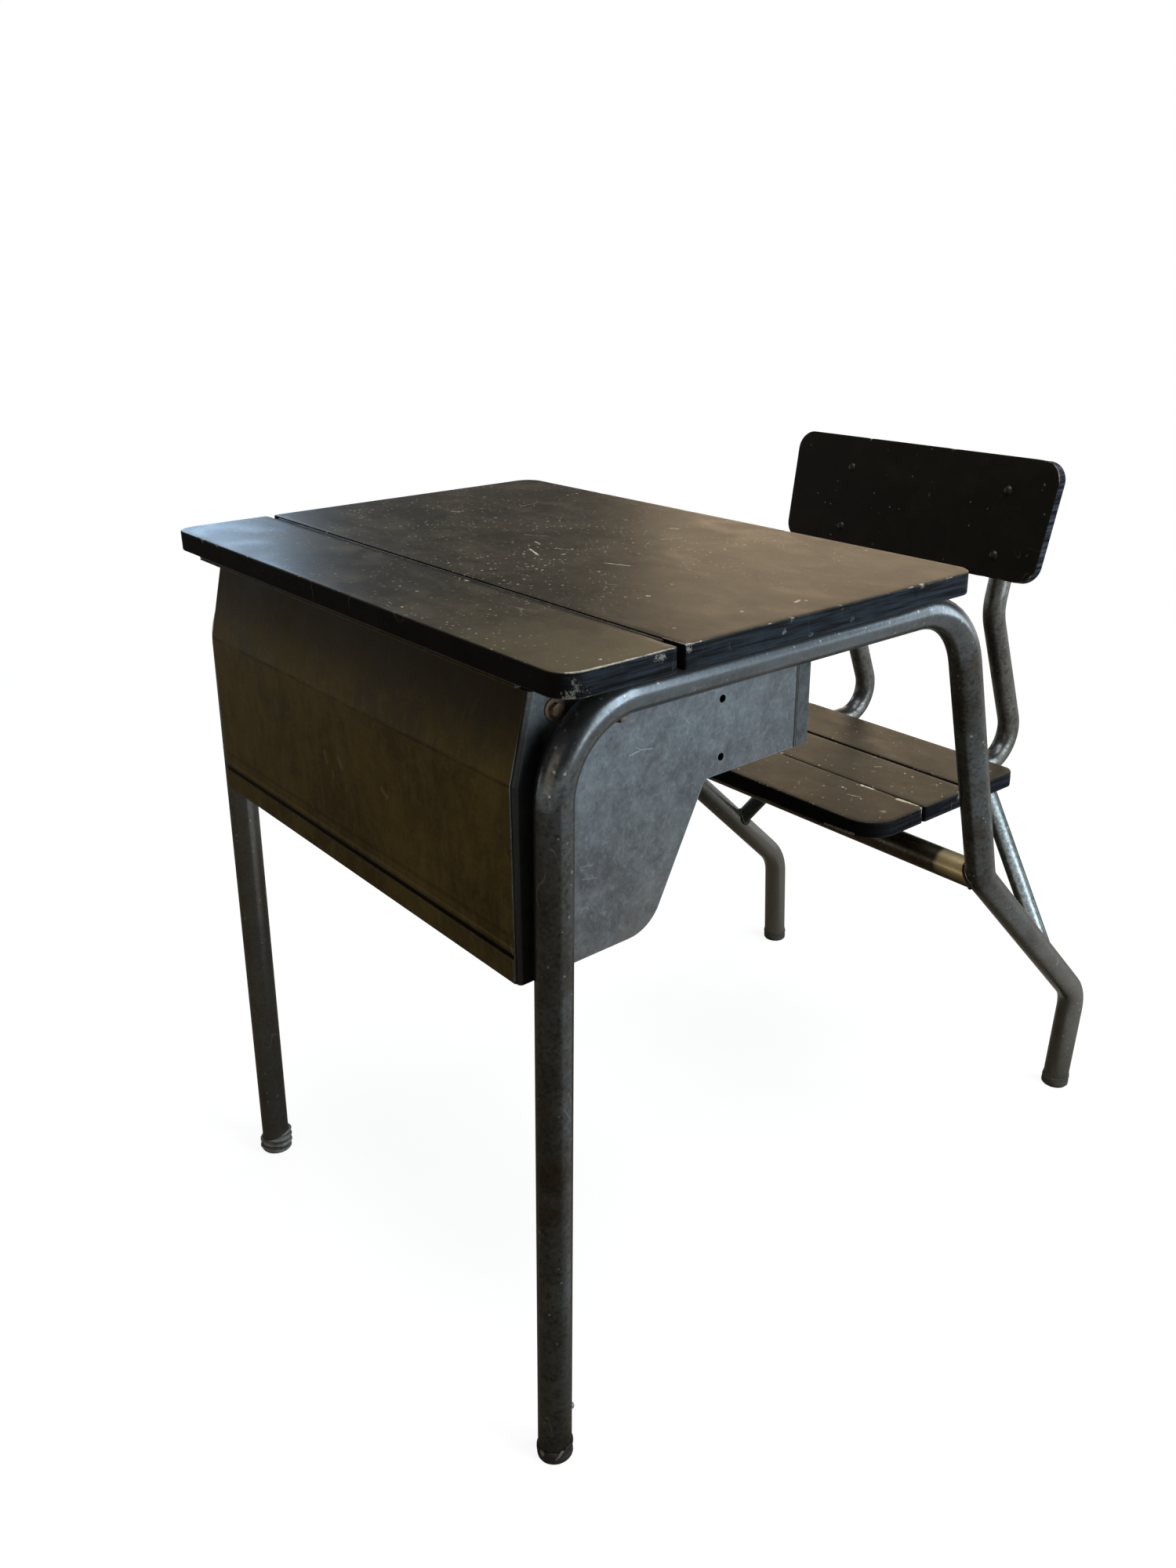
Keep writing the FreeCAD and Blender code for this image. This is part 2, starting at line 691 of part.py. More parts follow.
def sidePanel():
    path = offsetPath(frontPath, sheet + seamGap)
    path[0] = atHeight(path[0], path[1], topUnder)
    path[2] = atHeight(path[1], path[2], boxBottomZ)
    front = offsetPath(path, cornerBend)
    front[0] = atHeight(front[0], front[1], topUnder)
    front[2] = atHeight(front[1], front[2], boxBottomZ)
    points = front + [bottomPath[2], bottomPath[3], (rearSeamY, rearZ), (rearSeamY, boxRim),
                      (stripDepth, boxRim), (stripDepth, topUnder)]
    radii = [0, 0, 0, deepBendRadius, shallowBendRadius, 0, 0, 0, 0]
    plate = profile(points, radii, sideInner, boxHalfWidth)
    solid = plate.fuse(frontFlange(path)).removeSplitter()
    ear = block(sideInner, earReach, earFront, earRear, topUnder - sheet, topUnder)
    solid = solid.fuse(ear).removeSplitter()
    cutters = [rod(Vector(sideInner - 9, cornerBoltY, cornerBoltZ),
                   Vector(boxHalfWidth + 9, cornerBoltY, cornerBoltZ), cornerBoltRadius + fitGap),
               block(0, panelHalfWidth, -9, cornerClear, 0, boxBottomZ + sheet + 2 * seamGap),
               block(0, boxHalfWidth + 1, 0, boxTopY + 4, topUnder - hemThickness - notchHeight, topUnder)]
    for y, z in bareHolePlaces:
        cutters.append(rod(Vector(sideInner - 9, y, z), Vector(boxHalfWidth + 9, y, z), bareHoleRadius))
    for cutter in cutters + [strapBoltHoles()]:
        solid = solid.cut(cutter)
    return solid


earRear = stripDepth - 1.0
earFront = 60.0
earReach = frameHalfWidth + 18.0
cornerBoltY = 37.5
cornerBoltZ = topUnder - 27.0
cornerBoltRadius = 3.0
cornerBoltHead = 5.6
bareHolePlaces = [(203.2, topHeight - 75.7), (203.0, topHeight - 124.8)]
bareHoleRadius = 3.4


def rearPanel():
    """Upright wall whose side flanges lie flush with the sides, on tongues behind them."""
    start = rearSeamY + rearSeam
    wall = block(-boxHalfWidth, boxHalfWidth, boxRear - sheet, boxRear, rearZ, boxRim)
    rim = block(-boxHalfWidth, boxHalfWidth, boxRear - rimFlange, boxRear, boxRim - sheet, boxRim)
    low = rearZ + bottomFlange
    flange = block(sideInner, boxHalfWidth, start, boxRear, rearZ, boxRim)
    step = block(bottomHalfWidth - sheet, sideInner, start, start + 2 * sheet, low, boxRim)
    tongue = block(bottomHalfWidth - sheet, bottomHalfWidth, rearSeamY - rearTongue, start + 2 * sheet,
                   low, boxRim)
    side = flange.multiFuse([step, tongue])
    return wall.multiFuse([rim, side, mirrored(side)]).removeSplitter()


def strapBoltHoles():
    hole = rod(Vector(frameHalfWidth, strapBoltY, railZ - 2 * tubeRadius),
               Vector(frameHalfWidth, strapBoltY, topUnder + 12), strapBoltRadius + fitGap)
    return bothSides(hole)


def strapBolts():
    """Bolts that rise through rail, spacer and ear into the strip."""
    low = strapBoltSeat()
    shank = rod(Vector(frameHalfWidth, strapBoltY, low),
                Vector(frameHalfWidth, strapBoltY, topUnder + 11), strapBoltRadius)
    head = hexagon(Vector(frameHalfWidth, strapBoltY, low - 3.4), Vector(0, 0, 1), 5.8, 4.0)
    return bothSides(shank.fuse(head.cut(frameClearance())).removeSplitter())


def strapBoltSeat():
    """Height of the rail's underside at the bolt, in the front bend."""
    back = frontLegSetback + frontBendRadius - strapBoltY
    return railZ - frontBendRadius + math.sqrt(frontBendRadius ** 2 - back ** 2) - tubeRadius


def frameClearance():
    """The part of the side frame round the strip bolt, a little enlarged."""
    start = axisEnd(frontCorner, frontFoot, frontBendRadius * 1.6)
    end = axisEnd(frontCorner, rearCorner, frontBendRadius * 1.6)
    return swept(roundedPath([start, frontCorner, end], [frontBendRadius]), start, frontCorner - start,
                 tubeRadius + seatGap)


def railSpacer():
    """Packing between the bent tube and the ear of the side panel."""
    solid = block(frameHalfWidth - 10, frameHalfWidth + 10, strapBoltY - 13, strapBoltY + 13,
                  railZ + tubeRadius * 0.7, topUnder - sheet)
    solid = solid.cut(frameClearance()).cut(strapBoltHoles())
    return bothSides(solid)


bufferRadius = 7.0
bufferYs = (150.0, 405.0)
bufferRest = 0.4


def lidBuffers():
    """Rubber buttons on the rails that the closed lid rests on."""
    buttons = []
    rail = rod(Vector(frameHalfWidth, 0, railZ), Vector(frameHalfWidth, railRear, railZ),
               tubeRadius + fitGap)
    for y in bufferYs:
        button = rod(Vector(frameHalfWidth, y, railZ + tubeRadius * 0.8),
                     Vector(frameHalfWidth, y, topUnder - bufferRest), bufferRadius)
        buttons.append(button.cut(rail))
    return bothSides(Part.makeCompound(buttons))


bracketThickness = 2.0
bracketReach = 34.0
bracketDrop = 46.0
bracketFront = 26.0
bracketRear = 60.0
bracketScrewRadius = 2.0
bracketScrewX = boxHalfWidth - 22.0


def bracketScrewHoles():
    return bothSides(rod(Vector(bracketScrewX, cornerBoltY, topUnder - 9),
                         Vector(bracketScrewX, cornerBoltY, topUnder + 11), bracketScrewRadius + fitGap))


def cornerBrackets():
    """Angles inside the box that carry the strip."""
    inner = sideInner
    leg = block(inner - bracketThickness, inner, bracketFront, bracketRear, topUnder - bracketDrop, topUnder)
    arm = block(inner - bracketReach, inner, bracketFront, bracketRear, topUnder - bracketThickness, topUnder)
    angle = leg.fuse(arm).removeSplitter()
    hole = rod(Vector(inner - 9, cornerBoltY, cornerBoltZ), Vector(inner + 9, cornerBoltY, cornerBoltZ),
               cornerBoltRadius + fitGap)
    return bothSides(angle.cut(hole)).cut(bracketScrewHoles())


washerRadius = 8.8
washerThickness = 1.4


def cornerWashers():
    face = boxHalfWidth
    disc = rod(Vector(face, cornerBoltY, cornerBoltZ), Vector(face + washerThickness, cornerBoltY, cornerBoltZ),
               washerRadius)
    return bothSides(disc.cut(rod(Vector(face - 1, cornerBoltY, cornerBoltZ),
                                  Vector(face + 9, cornerBoltY, cornerBoltZ), cornerBoltRadius + fitGap)))


def cornerBolts():
    face = boxHalfWidth + washerThickness
    inner = sideInner - bracketThickness
    shank = rod(Vector(inner - 6, cornerBoltY, cornerBoltZ), Vector(face, cornerBoltY, cornerBoltZ),
                cornerBoltRadius)
    head = hexagon(Vector(face, cornerBoltY, cornerBoltZ), Vector(1, 0, 0), cornerBoltHead, 3.6)
    return bothSides(shank.fuse(head).removeSplitter())


def cornerNuts():
    inner = sideInner - bracketThickness
    nut = hexagon(Vector(inner - 4, cornerBoltY, cornerBoltZ), Vector(1, 0, 0), cornerBoltHead, 4)
    return bothSides(nut.cut(rod(Vector(inner - 9, cornerBoltY, cornerBoltZ),
                                 Vector(inner + 9, cornerBoltY, cornerBoltZ), cornerBoltRadius + fitGap)))


stripScrewHead = 3.6
stripScrewHeadHeight = 1.4
flangeScrewXs = (-205.0, -70.0, 70.0, 205.0)
flangeScrewY = (flangeFront + boxTopY) / 2
flangeScrewRadius = 1.8


def flangeScrewHoles():
    return Part.makeCompound([rod(Vector(x, flangeScrewY, topUnder - 6), Vector(x, flangeScrewY, topUnder + 11),
                                  flangeScrewRadius + fitGap) for x in flangeScrewXs])


def upwardScrew(x, y, seat, radius):
    """A small screw driven up from under a flange."""
    shank = rod(Vector(x, y, seat), Vector(x, y, topUnder + 10), radius)
    return shank.fuse(domeHead(Vector(x, y, seat), Vector(0, 0, -1), stripScrewHead,
                               stripScrewHeadHeight)).removeSplitter()


def flangeScrews():
    return Part.makeCompound([upwardScrew(x, flangeScrewY, topUnder - hemThickness, flangeScrewRadius)
                              for x in flangeScrewXs])


def bracketScrews():
    return bothSides(upwardScrew(bracketScrewX, cornerBoltY, topUnder - bracketThickness,
                                 bracketScrewRadius))


footScrewHeight = 52.0
footScrewTurn = 54.0
footScrewRadius = 1.6
footScrewHead = 2.9
footScrewHeadHeight = 1.8


def footScrewFrame():
    turn = math.radians(footScrewTurn)
    outward = Vector(math.cos(turn), math.sin(turn), 0)
    axis = frontFoot + (frontCorner - frontFoot) * (footScrewHeight / railZ)
    return axis, outward


def footScrewHole():
    axis, outward = footScrewFrame()
    return rod(axis, axis + outward * (tubeRadius + 3), footScrewRadius + fitGap)


def footScrews():
    """Small screws just above the front foot caps."""
    axis, outward = footScrewFrame()
    seat = axis + outward * (tubeRadius + seatGap)
    shank = rod(axis + outward * (tubeRadius - 6), seat, footScrewRadius)
    head = domeHead(seat, outward, footScrewHead, footScrewHeadHeight)
    return bothSides(shank.fuse(head).removeSplitter())


# ---- assembly -----------------------------------------------------------------------------
frameTube = frameTube.cut(footScrewHole())
add("side_frame_left", frameTube)
add("side_frame_right", mirrored(frameTube))
add("cross_tube", crossTube())

railTube = railTube.cut(slatScrewHoles(slatScrewRadius + fitGap)).cut(backBoltHoles())
add("seat_rail_left", railTube)
add("seat_rail_right", mirrored(railTube))
stayTube = stay()
add("seat_stay_left", stayTube)
add("seat_stay_right", mirrored(stayTube))

frontCap = footCap(frontFoot, frontCorner)
rearCap = footCap(rearFoot, heel)
add("foot_front_left", frontCap)
add("foot_front_right", mirrored(frontCap))
add("foot_rear_left", rearCap)
add("foot_rear_right", mirrored(rearCap))
add("foot_screws", footScrews())

add("top_strip", topStrip())
add("lid_board", lidBoard())
add("hinge_leaf_fixed", hingeLeafSolid(-1))
add("hinge_leaf_moving", hingeLeafSolid(1))
add("hinge_pin", hingePin())
add("hinge_screws_fixed", hingeScrews(-1))
add("hinge_screws_moving", hingeScrews(1))
add("lid_buffers", lidBuffers())

add("box_front_panel", frontPanel())
boxSide = sidePanel()
add("box_side_left", boxSide)
add("box_side_right", mirrored(boxSide))
add("box_bottom", boxBottom())
add("box_seam_strips", seamStrips())
add("box_rear_panel", rearPanel())
add("corner_brackets", cornerBrackets())
add("corner_bolts", cornerBolts())
add("corner_washers", cornerWashers())
add("corner_nuts", cornerNuts())
add("bracket_screws", bracketScrews())
add("flange_screws", flangeScrews())
add("rail_spacers", railSpacer())
add("strip_bolts", strapBolts())

for number, name in enumerate(("seat_slat_front", "seat_slat_middle", "seat_slat_rear")):
    add(name, seatSlat(number))
add("seat_screws", slatScrews())
add("backrest_board", backrestBoard())
add("backrest_bolts", backBolts())
add("backrest_nuts", backNuts())

os.makedirs("parts", exist_ok=True)
for name, shape in nodes.items():
    placed = shape.copy()
    placed.translate(Vector(0, -middleY, 0))
    solids = placed.Solids
    print(name, "solids", len(solids), "valid", placed.isValid(), "volume", round(placed.Volume, 1))
    placed.exportStep("parts/" + name + ".step")
print("middle of the desk at", round(middleY, 3))
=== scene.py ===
import json
import math

import bpy
import numpy as np
from mathutils import Matrix, Vector


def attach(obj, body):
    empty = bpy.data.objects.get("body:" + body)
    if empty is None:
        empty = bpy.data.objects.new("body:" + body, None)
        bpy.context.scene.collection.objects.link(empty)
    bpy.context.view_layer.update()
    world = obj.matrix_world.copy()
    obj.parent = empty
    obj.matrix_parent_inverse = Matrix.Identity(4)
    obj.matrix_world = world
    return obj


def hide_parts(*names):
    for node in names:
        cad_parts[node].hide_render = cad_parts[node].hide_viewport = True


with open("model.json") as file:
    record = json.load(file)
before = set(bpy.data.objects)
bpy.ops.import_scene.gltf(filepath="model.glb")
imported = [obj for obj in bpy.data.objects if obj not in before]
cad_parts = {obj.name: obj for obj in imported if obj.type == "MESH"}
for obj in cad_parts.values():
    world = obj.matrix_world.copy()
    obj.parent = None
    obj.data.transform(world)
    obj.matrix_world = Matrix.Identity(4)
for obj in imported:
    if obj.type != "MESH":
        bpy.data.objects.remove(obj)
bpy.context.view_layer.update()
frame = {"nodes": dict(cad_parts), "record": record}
nodes = frame["nodes"]
print("frame loaded with", len(nodes), "nodes")

mm = 0.001
frontToMiddle = 0.418286     # from the top's front edge back to the middle of the desk


def spot(x, y, z):
    # a place in millimetres from the middle, the top's front edge and the floor
    return Vector((x * mm, y * mm - frontToMiddle, z * mm))


# camera, floor and lamps

view = {
    "place": (941.7, -477.0, 982.3),
    "yaw": -51.564,
    "pitch": -22.637,
    "roll": -0.793,
    "lens": 29.555,
}


def addCamera():
    yaw, pitch, roll = (math.radians(view[key]) for key in ("yaw", "pitch", "roll"))
    ahead = Vector((math.sin(yaw) * math.cos(pitch), math.cos(yaw) * math.cos(pitch), math.sin(pitch)))
    right = ahead.cross(Vector((0, 0, 1))).normalized()
    up = right.cross(ahead)
    across = right * math.cos(roll) + up * math.sin(roll)
    upward = up * math.cos(roll) - right * math.sin(roll)
    data = bpy.data.cameras.new("deskCamera")
    data.lens = view["lens"]
    data.sensor_width = 36
    data.clip_start = 0.02
    data.clip_end = 60
    camera = bpy.data.objects.new("deskCamera", data)
    turn = Matrix((across, upward, -ahead)).transposed().to_4x4()
    camera.matrix_world = Matrix.Translation(spot(*view["place"])) @ turn
    bpy.context.scene.collection.objects.link(camera)
    bpy.context.scene.camera = camera


lamps = {
    "coolWindow": {"place": (2.9, 0.9, 1.3), "aim": (0, 0, 0.5), "size": (1.5, 2.0), "power": 52,
                   "colour": (0.84, 0.93, 1.0)},
    "rearWindow": {"place": (1.55, 2.5, 0.95), "aim": (0.2, 0.2, 0.4), "size": (1.0, 1.5), "power": 26,
                   "colour": (0.84, 0.93, 1.0)},
    "overhead": {"place": (0.4, 0.0, 3.1), "aim": (0, 0, 0), "size": (2.0, 2.0), "power": 50,
                 "colour": (0.95, 0.97, 1.0)},
    "warmWall": {"place": (-1.98, 3.45, 1.5), "aim": (0.1, 0, 0.73), "size": (2.75, 1.3), "power": 20.5,
                 "colour": (1.0, 0.735, 0.46)},
    "farSky": {"place": (-3.15, 0.6, 1.34), "aim": (-0.3, -0.37, 0.73), "size": (0.7, 0.5), "power": 9.5,
               "colour": (0.5, 0.73, 1.0)},
    "frontFill": {"place": (0.6, -3.0, 1.3), "aim": (0, 0, 0.5), "size": (2.4, 1.6), "power": 9,
                  "colour": (1.0, 0.82, 0.6)},
}


def addLamps():
    for name, lamp in lamps.items():
        data = bpy.data.lights.new(name, "AREA")
        data.shape = "RECTANGLE"
        data.size, data.size_y = lamp["size"]
        data.energy = lamp["power"]
        data.color = lamp["colour"]
        light = bpy.data.objects.new(name, data)
        place = Vector(lamp["place"])
        away = place - Vector(lamp["aim"])
        light.matrix_world = Matrix.Translation(place) @ away.to_track_quat("Z", "Y").to_matrix().to_4x4()
        light.visible_camera = False
        bpy.context.scene.collection.objects.link(light)


# small helpers for building shaders

def feed(value, socket):
    if isinstance(value, bpy.types.NodeSocket):
        socket.id_data.links.new(value, socket)
    else:
        socket.default_value = (*value, 1.0) if socket.type == "RGBA" else value


def put(tree, kind, values=None, **settings):
    node = tree.nodes.new("ShaderNode" + kind)
    for name, value in settings.items():
        setattr(node, name, value)
    for name, value in (values or {}).items():
        feed(value, node.inputs[name])
    return node


def calc(operation, first, second=0.0, clamp=False):
    # one of the two values comes from a node, and the new node goes into that node's tree
    tree = (first if isinstance(first, bpy.types.NodeSocket) else second).id_data
    return put(tree, "Math", {0: first, 1: second}, operation=operation, use_clamp=clamp).outputs[0]


def minus(first, second, clamp=False):
    return calc("SUBTRACT", first, second, clamp)


def carried(operation):
    # the same operation carried along any number of values
    def carry(*values):
        total = values[0]
        for value in values[1:]:
            total = calc(operation, total, value)
        return total
    return carry


plus, times, strongest = carried("ADD"), carried("MULTIPLY"), carried("MAXIMUM")


def spread(value, low, high, toLow=0.0, toHigh=1.0):
    # a value between low and high becomes one between toLow and toHigh, held at both ends
    return put(value.id_data, "MapRange", {"Value": value, "From Min": low, "From Max": high, "To Min": toLow,
                                           "To Max": toHigh}, clamp=True).outputs["Result"]


def lineAt(value, level, half, core=1.0):
    # full where the value is at the level, falling away within a half width; a core above 1 widens the full part
    return minus(core, calc("DIVIDE", calc("ABSOLUTE", minus(value, level)), half), clamp=True)


def vectors(operation, first, second):
    node = put(first.id_data, "VectorMath", {0: first, 1: second}, operation=operation)
    return node.outputs["Vector" if operation == "SUBTRACT" else "Value"]


def split(vector):
    return put(vector.id_data, "SeparateXYZ", {0: vector}).outputs


def facing(tree, direction, low, high, toLow=0.0, toHigh=1.0):
    # how squarely the surface looks in a direction
    alike = vectors("DOT_PRODUCT", put(tree, "NewGeometry").outputs["Normal"], direction)
    return spread(alike, low, high, toLow, toHigh)


def painted(tree, label):
    # an amount kept at the piece's points
    return put(tree, "Attribute", attribute_name=label).outputs["Fac"]


def shade(colour, share):
    return tuple(part * share for part in colour)


def blend(factor, first, second, way="MIX"):
    node = put(factor.id_data, "Mix", {0: factor, 6: first, 7: second}, data_type="RGBA", blend_type=way)
    return node.outputs[2]


def coated(colour, *coats):
    # each coat is a mask and the colour that it lays over the ones before
    for mask, coat in coats:
        colour = blend(mask, colour, coat)
    return colour


def cloud(point, scale, detail=3.0, roughness=0.55, twist=0.0):
    return put(point.id_data, "TexNoise", {"Vector": point, "Scale": scale, "Detail": detail,
                                           "Roughness": roughness, "Distortion": twist}).outputs["Fac"]


def place(tree, stretch=(1, 1, 1), turn=(0, 0, 0)):
    source = put(tree, "TexCoord").outputs["Object"]
    return put(tree, "Mapping", {"Vector": source, "Rotation": turn, "Scale": stretch}).outputs["Vector"]


def makeGroup(name, gives, **takes):
    # an input that starts as None is a vector; the other inputs and the output are numbers
    tree = bpy.data.node_groups.new(name, "ShaderNodeTree")
    for label, start in takes.items():
        kind = "NodeSocketVector" if start is None else "NodeSocketFloat"
        socket = tree.interface.new_socket(label, in_out="INPUT", socket_type=kind)
        if start is not None:
            socket.default_value = start
    tree.interface.new_socket(gives, in_out="OUTPUT", socket_type="NodeSocketFloat")
    given = tree.nodes.new("NodeGroupInput").outputs[:len(takes)]
    return tree, given, tree.nodes.new("NodeGroupOutput").inputs[gives]


# groups that several finishes share

def flecksGroup():
    # one small dot per cell, most of them switched off by the cell's own random value
    tree, (point, scale, share, size), made = makeGroup("paleFlecks", "mask", point=None, scale=100, share=0.1,
                                                        size=0.2)
    cells = put(tree, "TexVoronoi", {"Vector": point, "Scale": scale, "Randomness": 1})
    random = put(tree, "SeparateColor", {"Color": cells.outputs["Color"]}).outputs
    reach = times(size, plus(random[1], 0.25))
    wobble = minus(cloud(point, 900, 2), 0.5)
    away = plus(cells.outputs["Distance"], times(wobble, reach))
    dot = calc("DIVIDE", minus(reach, away), times(reach, 0.4), clamp=True)
    feed(times(dot, calc("LESS_THAN", random[0], share)), made)
    return tree


def scratchesGroup():
    # thin bands where a noise passes its middle value, broken up by a coarser noise
    tree, (point, scale, width, share), made = makeGroup("fineScratches", "mask", point=None, scale=20,
                                                         width=0.01, share=0.4)
    lines = cloud(point, scale, 1, 0.4, 0.4)
    where = cloud(point, times(scale, 0.6), 2)
    gate = spread(where, minus(1, share), minus(1.06, share))
    feed(times(lineAt(lines, 0.5, width), gate), made)
    return tree


def mottleGroup():
    # three layers of soft noise, each finer and weaker than the last
    tree, (point, scale), made = makeGroup("mottle", "value", point=None, scale=10)
    broad = cloud(point, scale, 2, 0.5, 0.3)
    middle = cloud(point, times(scale, 5.3), 3, 0.6)
    fine = cloud(point, times(scale, 31), 2, 0.6)
    finer = plus(times(middle, 0.35), times(fine, 0.2))
    feed(plus(times(broad, 0.45), finer), made)
    return tree


def rubbedEdgeGroup():
    # how far a rounded copy of the surface turns away from it, broken up by noise
    tree, (point, radius, breakUp), made = makeGroup("rubbedEdge", "mask", point=None, radius=0.002, breakUp=0.5)
    rounded = put(tree, "Bevel", {"Radius": radius}, samples=6).outputs[0]
    alike = vectors("DOT_PRODUCT", rounded, put(tree, "NewGeometry").outputs["Normal"])
    broken = spread(cloud(point, 140, 4, 0.65), 0.3, 0.7)
    edge = spread(alike, 0.995, 0.93)
    feed(minus(edge, times(broken, breakUp), clamp=True), made)
    return tree


def strokeGroup():
    # a ragged line between two places: the distance to it, set against a width that varies
    tree, (point, start, end, width, ragged), made = makeGroup("stroke", "mask", point=None, start=None, end=None,
                                                               width=0.001, ragged=0.5)
    along = vectors("SUBTRACT", end, start)
    off = vectors("SUBTRACT", point, start)
    reach = calc("MAXIMUM", vectors("DOT_PRODUCT", along, along), 0.0000001)
    share = calc("DIVIDE", vectors("DOT_PRODUCT", off, along), reach, clamp=True)
    near = put(tree, "VectorMath", {0: along, "Scale": share}, operation="SCALE").outputs["Vector"]
    wide = times(width, times(ragged, 2))
    inside = minus(wide, vectors("DISTANCE", off, near))
    feed(calc("DIVIDE", inside, times(width, 0.35), clamp=True), made)
    return tree


groups = {"flecks": flecksGroup(), "scratches": scratchesGroup(), "mottle": mottleGroup(),
          "rubbedEdge": rubbedEdgeGroup(), "stroke": strokeGroup()}


def effect(name, point, **values):
    return put(point.id_data, "Group", {"point": point, **values}, node_tree=groups[name]).outputs[0]


def newMaterial(name):
    material = bpy.data.materials.new(name)
    material.use_nodes = True
    tree = material.node_tree
    tree.nodes.clear()
    shader = put(tree, "BsdfPrincipled")
    tree.links.new(shader.outputs[0], put(tree, "OutputMaterial").inputs["Surface"])
    return material, tree, shader.inputs


def dress(sockets, colour, roughness, metallic=0):
    feed(colour, sockets["Base Color"])
    feed(roughness, sockets["Roughness"])
    feed(metallic, sockets["Metallic"])


def bump(sockets, height, distance, strength=1):
    node = put(height.id_data, "Bump", {"Height": height, "Distance": distance, "Strength": strength})
    feed(node.outputs[0], sockets["Normal"])


def strokes(point, marks):
    # marks are (start, end, half width in mm, strength), the places in mm from the top's front edge
    ragged = spread(cloud(point, 650, 3, 0.65), 0.3, 0.65, 0.4, 1)
    masks = []
    for start, end, width, strength in marks:
        mask = effect("stroke", point, start=tuple(spot(*start)), end=tuple(spot(*end)),
                      width=width * 0.75 * mm, ragged=ragged)
        masks.append(times(mask, strength) if strength < 1 else mask)
    return strongest(*masks)


def marksOn(axis, level, rows):
    # marks on a plane across one axis, as (first, second, half width, strength, run in the first, in the second)
    marks = []
    for first, second, width, strength, *run in rows:
        run = run or (0, 0)
        start, end = [first, second], [first + run[0], second + run[1]]
        start.insert(axis, level)
        end.insert(axis, level)
        marks.append((start, end, width, strength))
    return marks


# painted boards

boardFinishes = {
    "top": {
        "face": (0.027, 0.0215, 0.012), "haze": (0.066, 0.053, 0.032),
        "edge": (0.011, 0.015, 0.02), "bare": (0.68, 0.6, 0.44), "roughness": (0.33, 0.43),
        "specular": 0.32, "grain": (0.25, 1.6, 1.6), "grit": 0.6, "waves": 0.3,
        "marks": marksOn(2, 729, [
            (-279.6, 311.9, 1.3, 0.5), (-250.5, 328.9, 1.5, 0.6), (-226.8, 239.7, 1.3, 0.6),
            (-205.7, 256.3, 1.2, 0.6, 9, 4), (-178.6, 311.5, 1.3, 0.6), (-181.2, 348.5, 1, 0.4, 2, -22),
            (-93.9, 298.3, 1.5, 0.8), (-96.5, 283.6, 1.2, 0.7), (-66.1, 293.8, 1.1, 0.7),
            (-50.8, 293.6, 1.3, 0.8), (-3.2, 209.1, 1, 1, 26, -10), (-24.4, 231.1, 1, 0.8, 11, -3),
            (12, 229, 0.6, 0.5, 16, 7), (-58, 243, 0.6, 0.45, 22, 12), (22.7, 237.9, 1.2, 0.6),
            (39.3, 136.2, 1.5, 0.5), (71.3, 167.5, 1.5, 0.8), (62.7, 48, 1.5, 0.7), (97.2, 13.3, 1.4, 0.7),
            (-100.6, 67.2, 1.6, 0.35), (-47.4, 360.9, 1.3, 0.7), (15.6, 366.4, 2.4, 0.55, 5, 2),
            (46.4, 324.7, 1, 0.55, 8, 19), (86.6, 224.2, 1.2, 0.6, 24, 9), (107.9, 199.8, 1.4, 0.8),
            (175.5, 148.6, 1.3, 0.6), (197.3, 176.9, 1.9, 1), (181.3, 216.2, 1.3, 0.8),
            (279, 198.1, 1.4, 1), (279.1, 129.9, 1.5, 0.6), (286.4, 248.2, 1.2, 1, -2, 7),
            (288.7, 258, 1.3, 1), (204.4, 429.3, 1.6, 0.8), (93.3, 316, 1.3, 0.5), (303.2, 41.8, 1.3, 0.9)]),
    },
    "seat": {
        "face": (0.021, 0.0178, 0.0112), "haze": (0.052, 0.044, 0.028),
        "edge": (0.012, 0.014, 0.018), "bare": (0.8, 0.72, 0.5), "roughness": (0.34, 0.5),
        "specular": 0.25, "grain": (0.12, 2.2, 2.2), "grit": 0.19, "waves": 0.3,
        "marks": marksOn(2, 431.1, [
            (95.3, 552.1, 1.6, 0.9), (126.1, 633.5, 1.4, 0.9), (105.5, 572.6, 2.6, 1, 15, 1.2),
            (156, 571, 2.6, 1, 9, 1.5), (169, 573, 2, 1, 10, 1), (166, 533.5, 3.6, 0.35),
            (79.2, 625.7, 1, 0.4, 4, 6), (112, 541, 0.8, 0.5, 14, 4)]) + [
            ((124, 492, 414), (163, 492, 415.5), 1.7, 0.9)],
    },
    "back": {
        "face": (0.006, 0.0045, 0.0022), "haze": (0.012, 0.0095, 0.0052),
        "edge": (0.03, 0.035, 0.045), "bare": (0.42, 0.3, 0.18), "roughness": (0.5, 0.62),
        "specular": 0.16, "grain": (0.3, 1.5, 1.5), "grit": 0.06, "waves": 0.1,
        "marks": [((9.4, 774.6, 714.2), (9.8, 774, 711), 1.3, 0.25),
                  ((153.9, 780.5, 740.5), (154.2, 780.5, 740), 1.2, 0.5)],
    },
}
boardWearAndShade = {
    "rubbedEnd": (0.11, 0.086, 0.045), "seam": (0.001, 0.001, 0.001), "seamAt": -0.3205,
    "seamEnd": 0.285, "smudge": (0.004, 0.005, 0.006), "shadow": (0.003, 0.0025, 0.002),
    "flankChip": (0.2, 0.22, 0.215), "matt": 0.3,
}


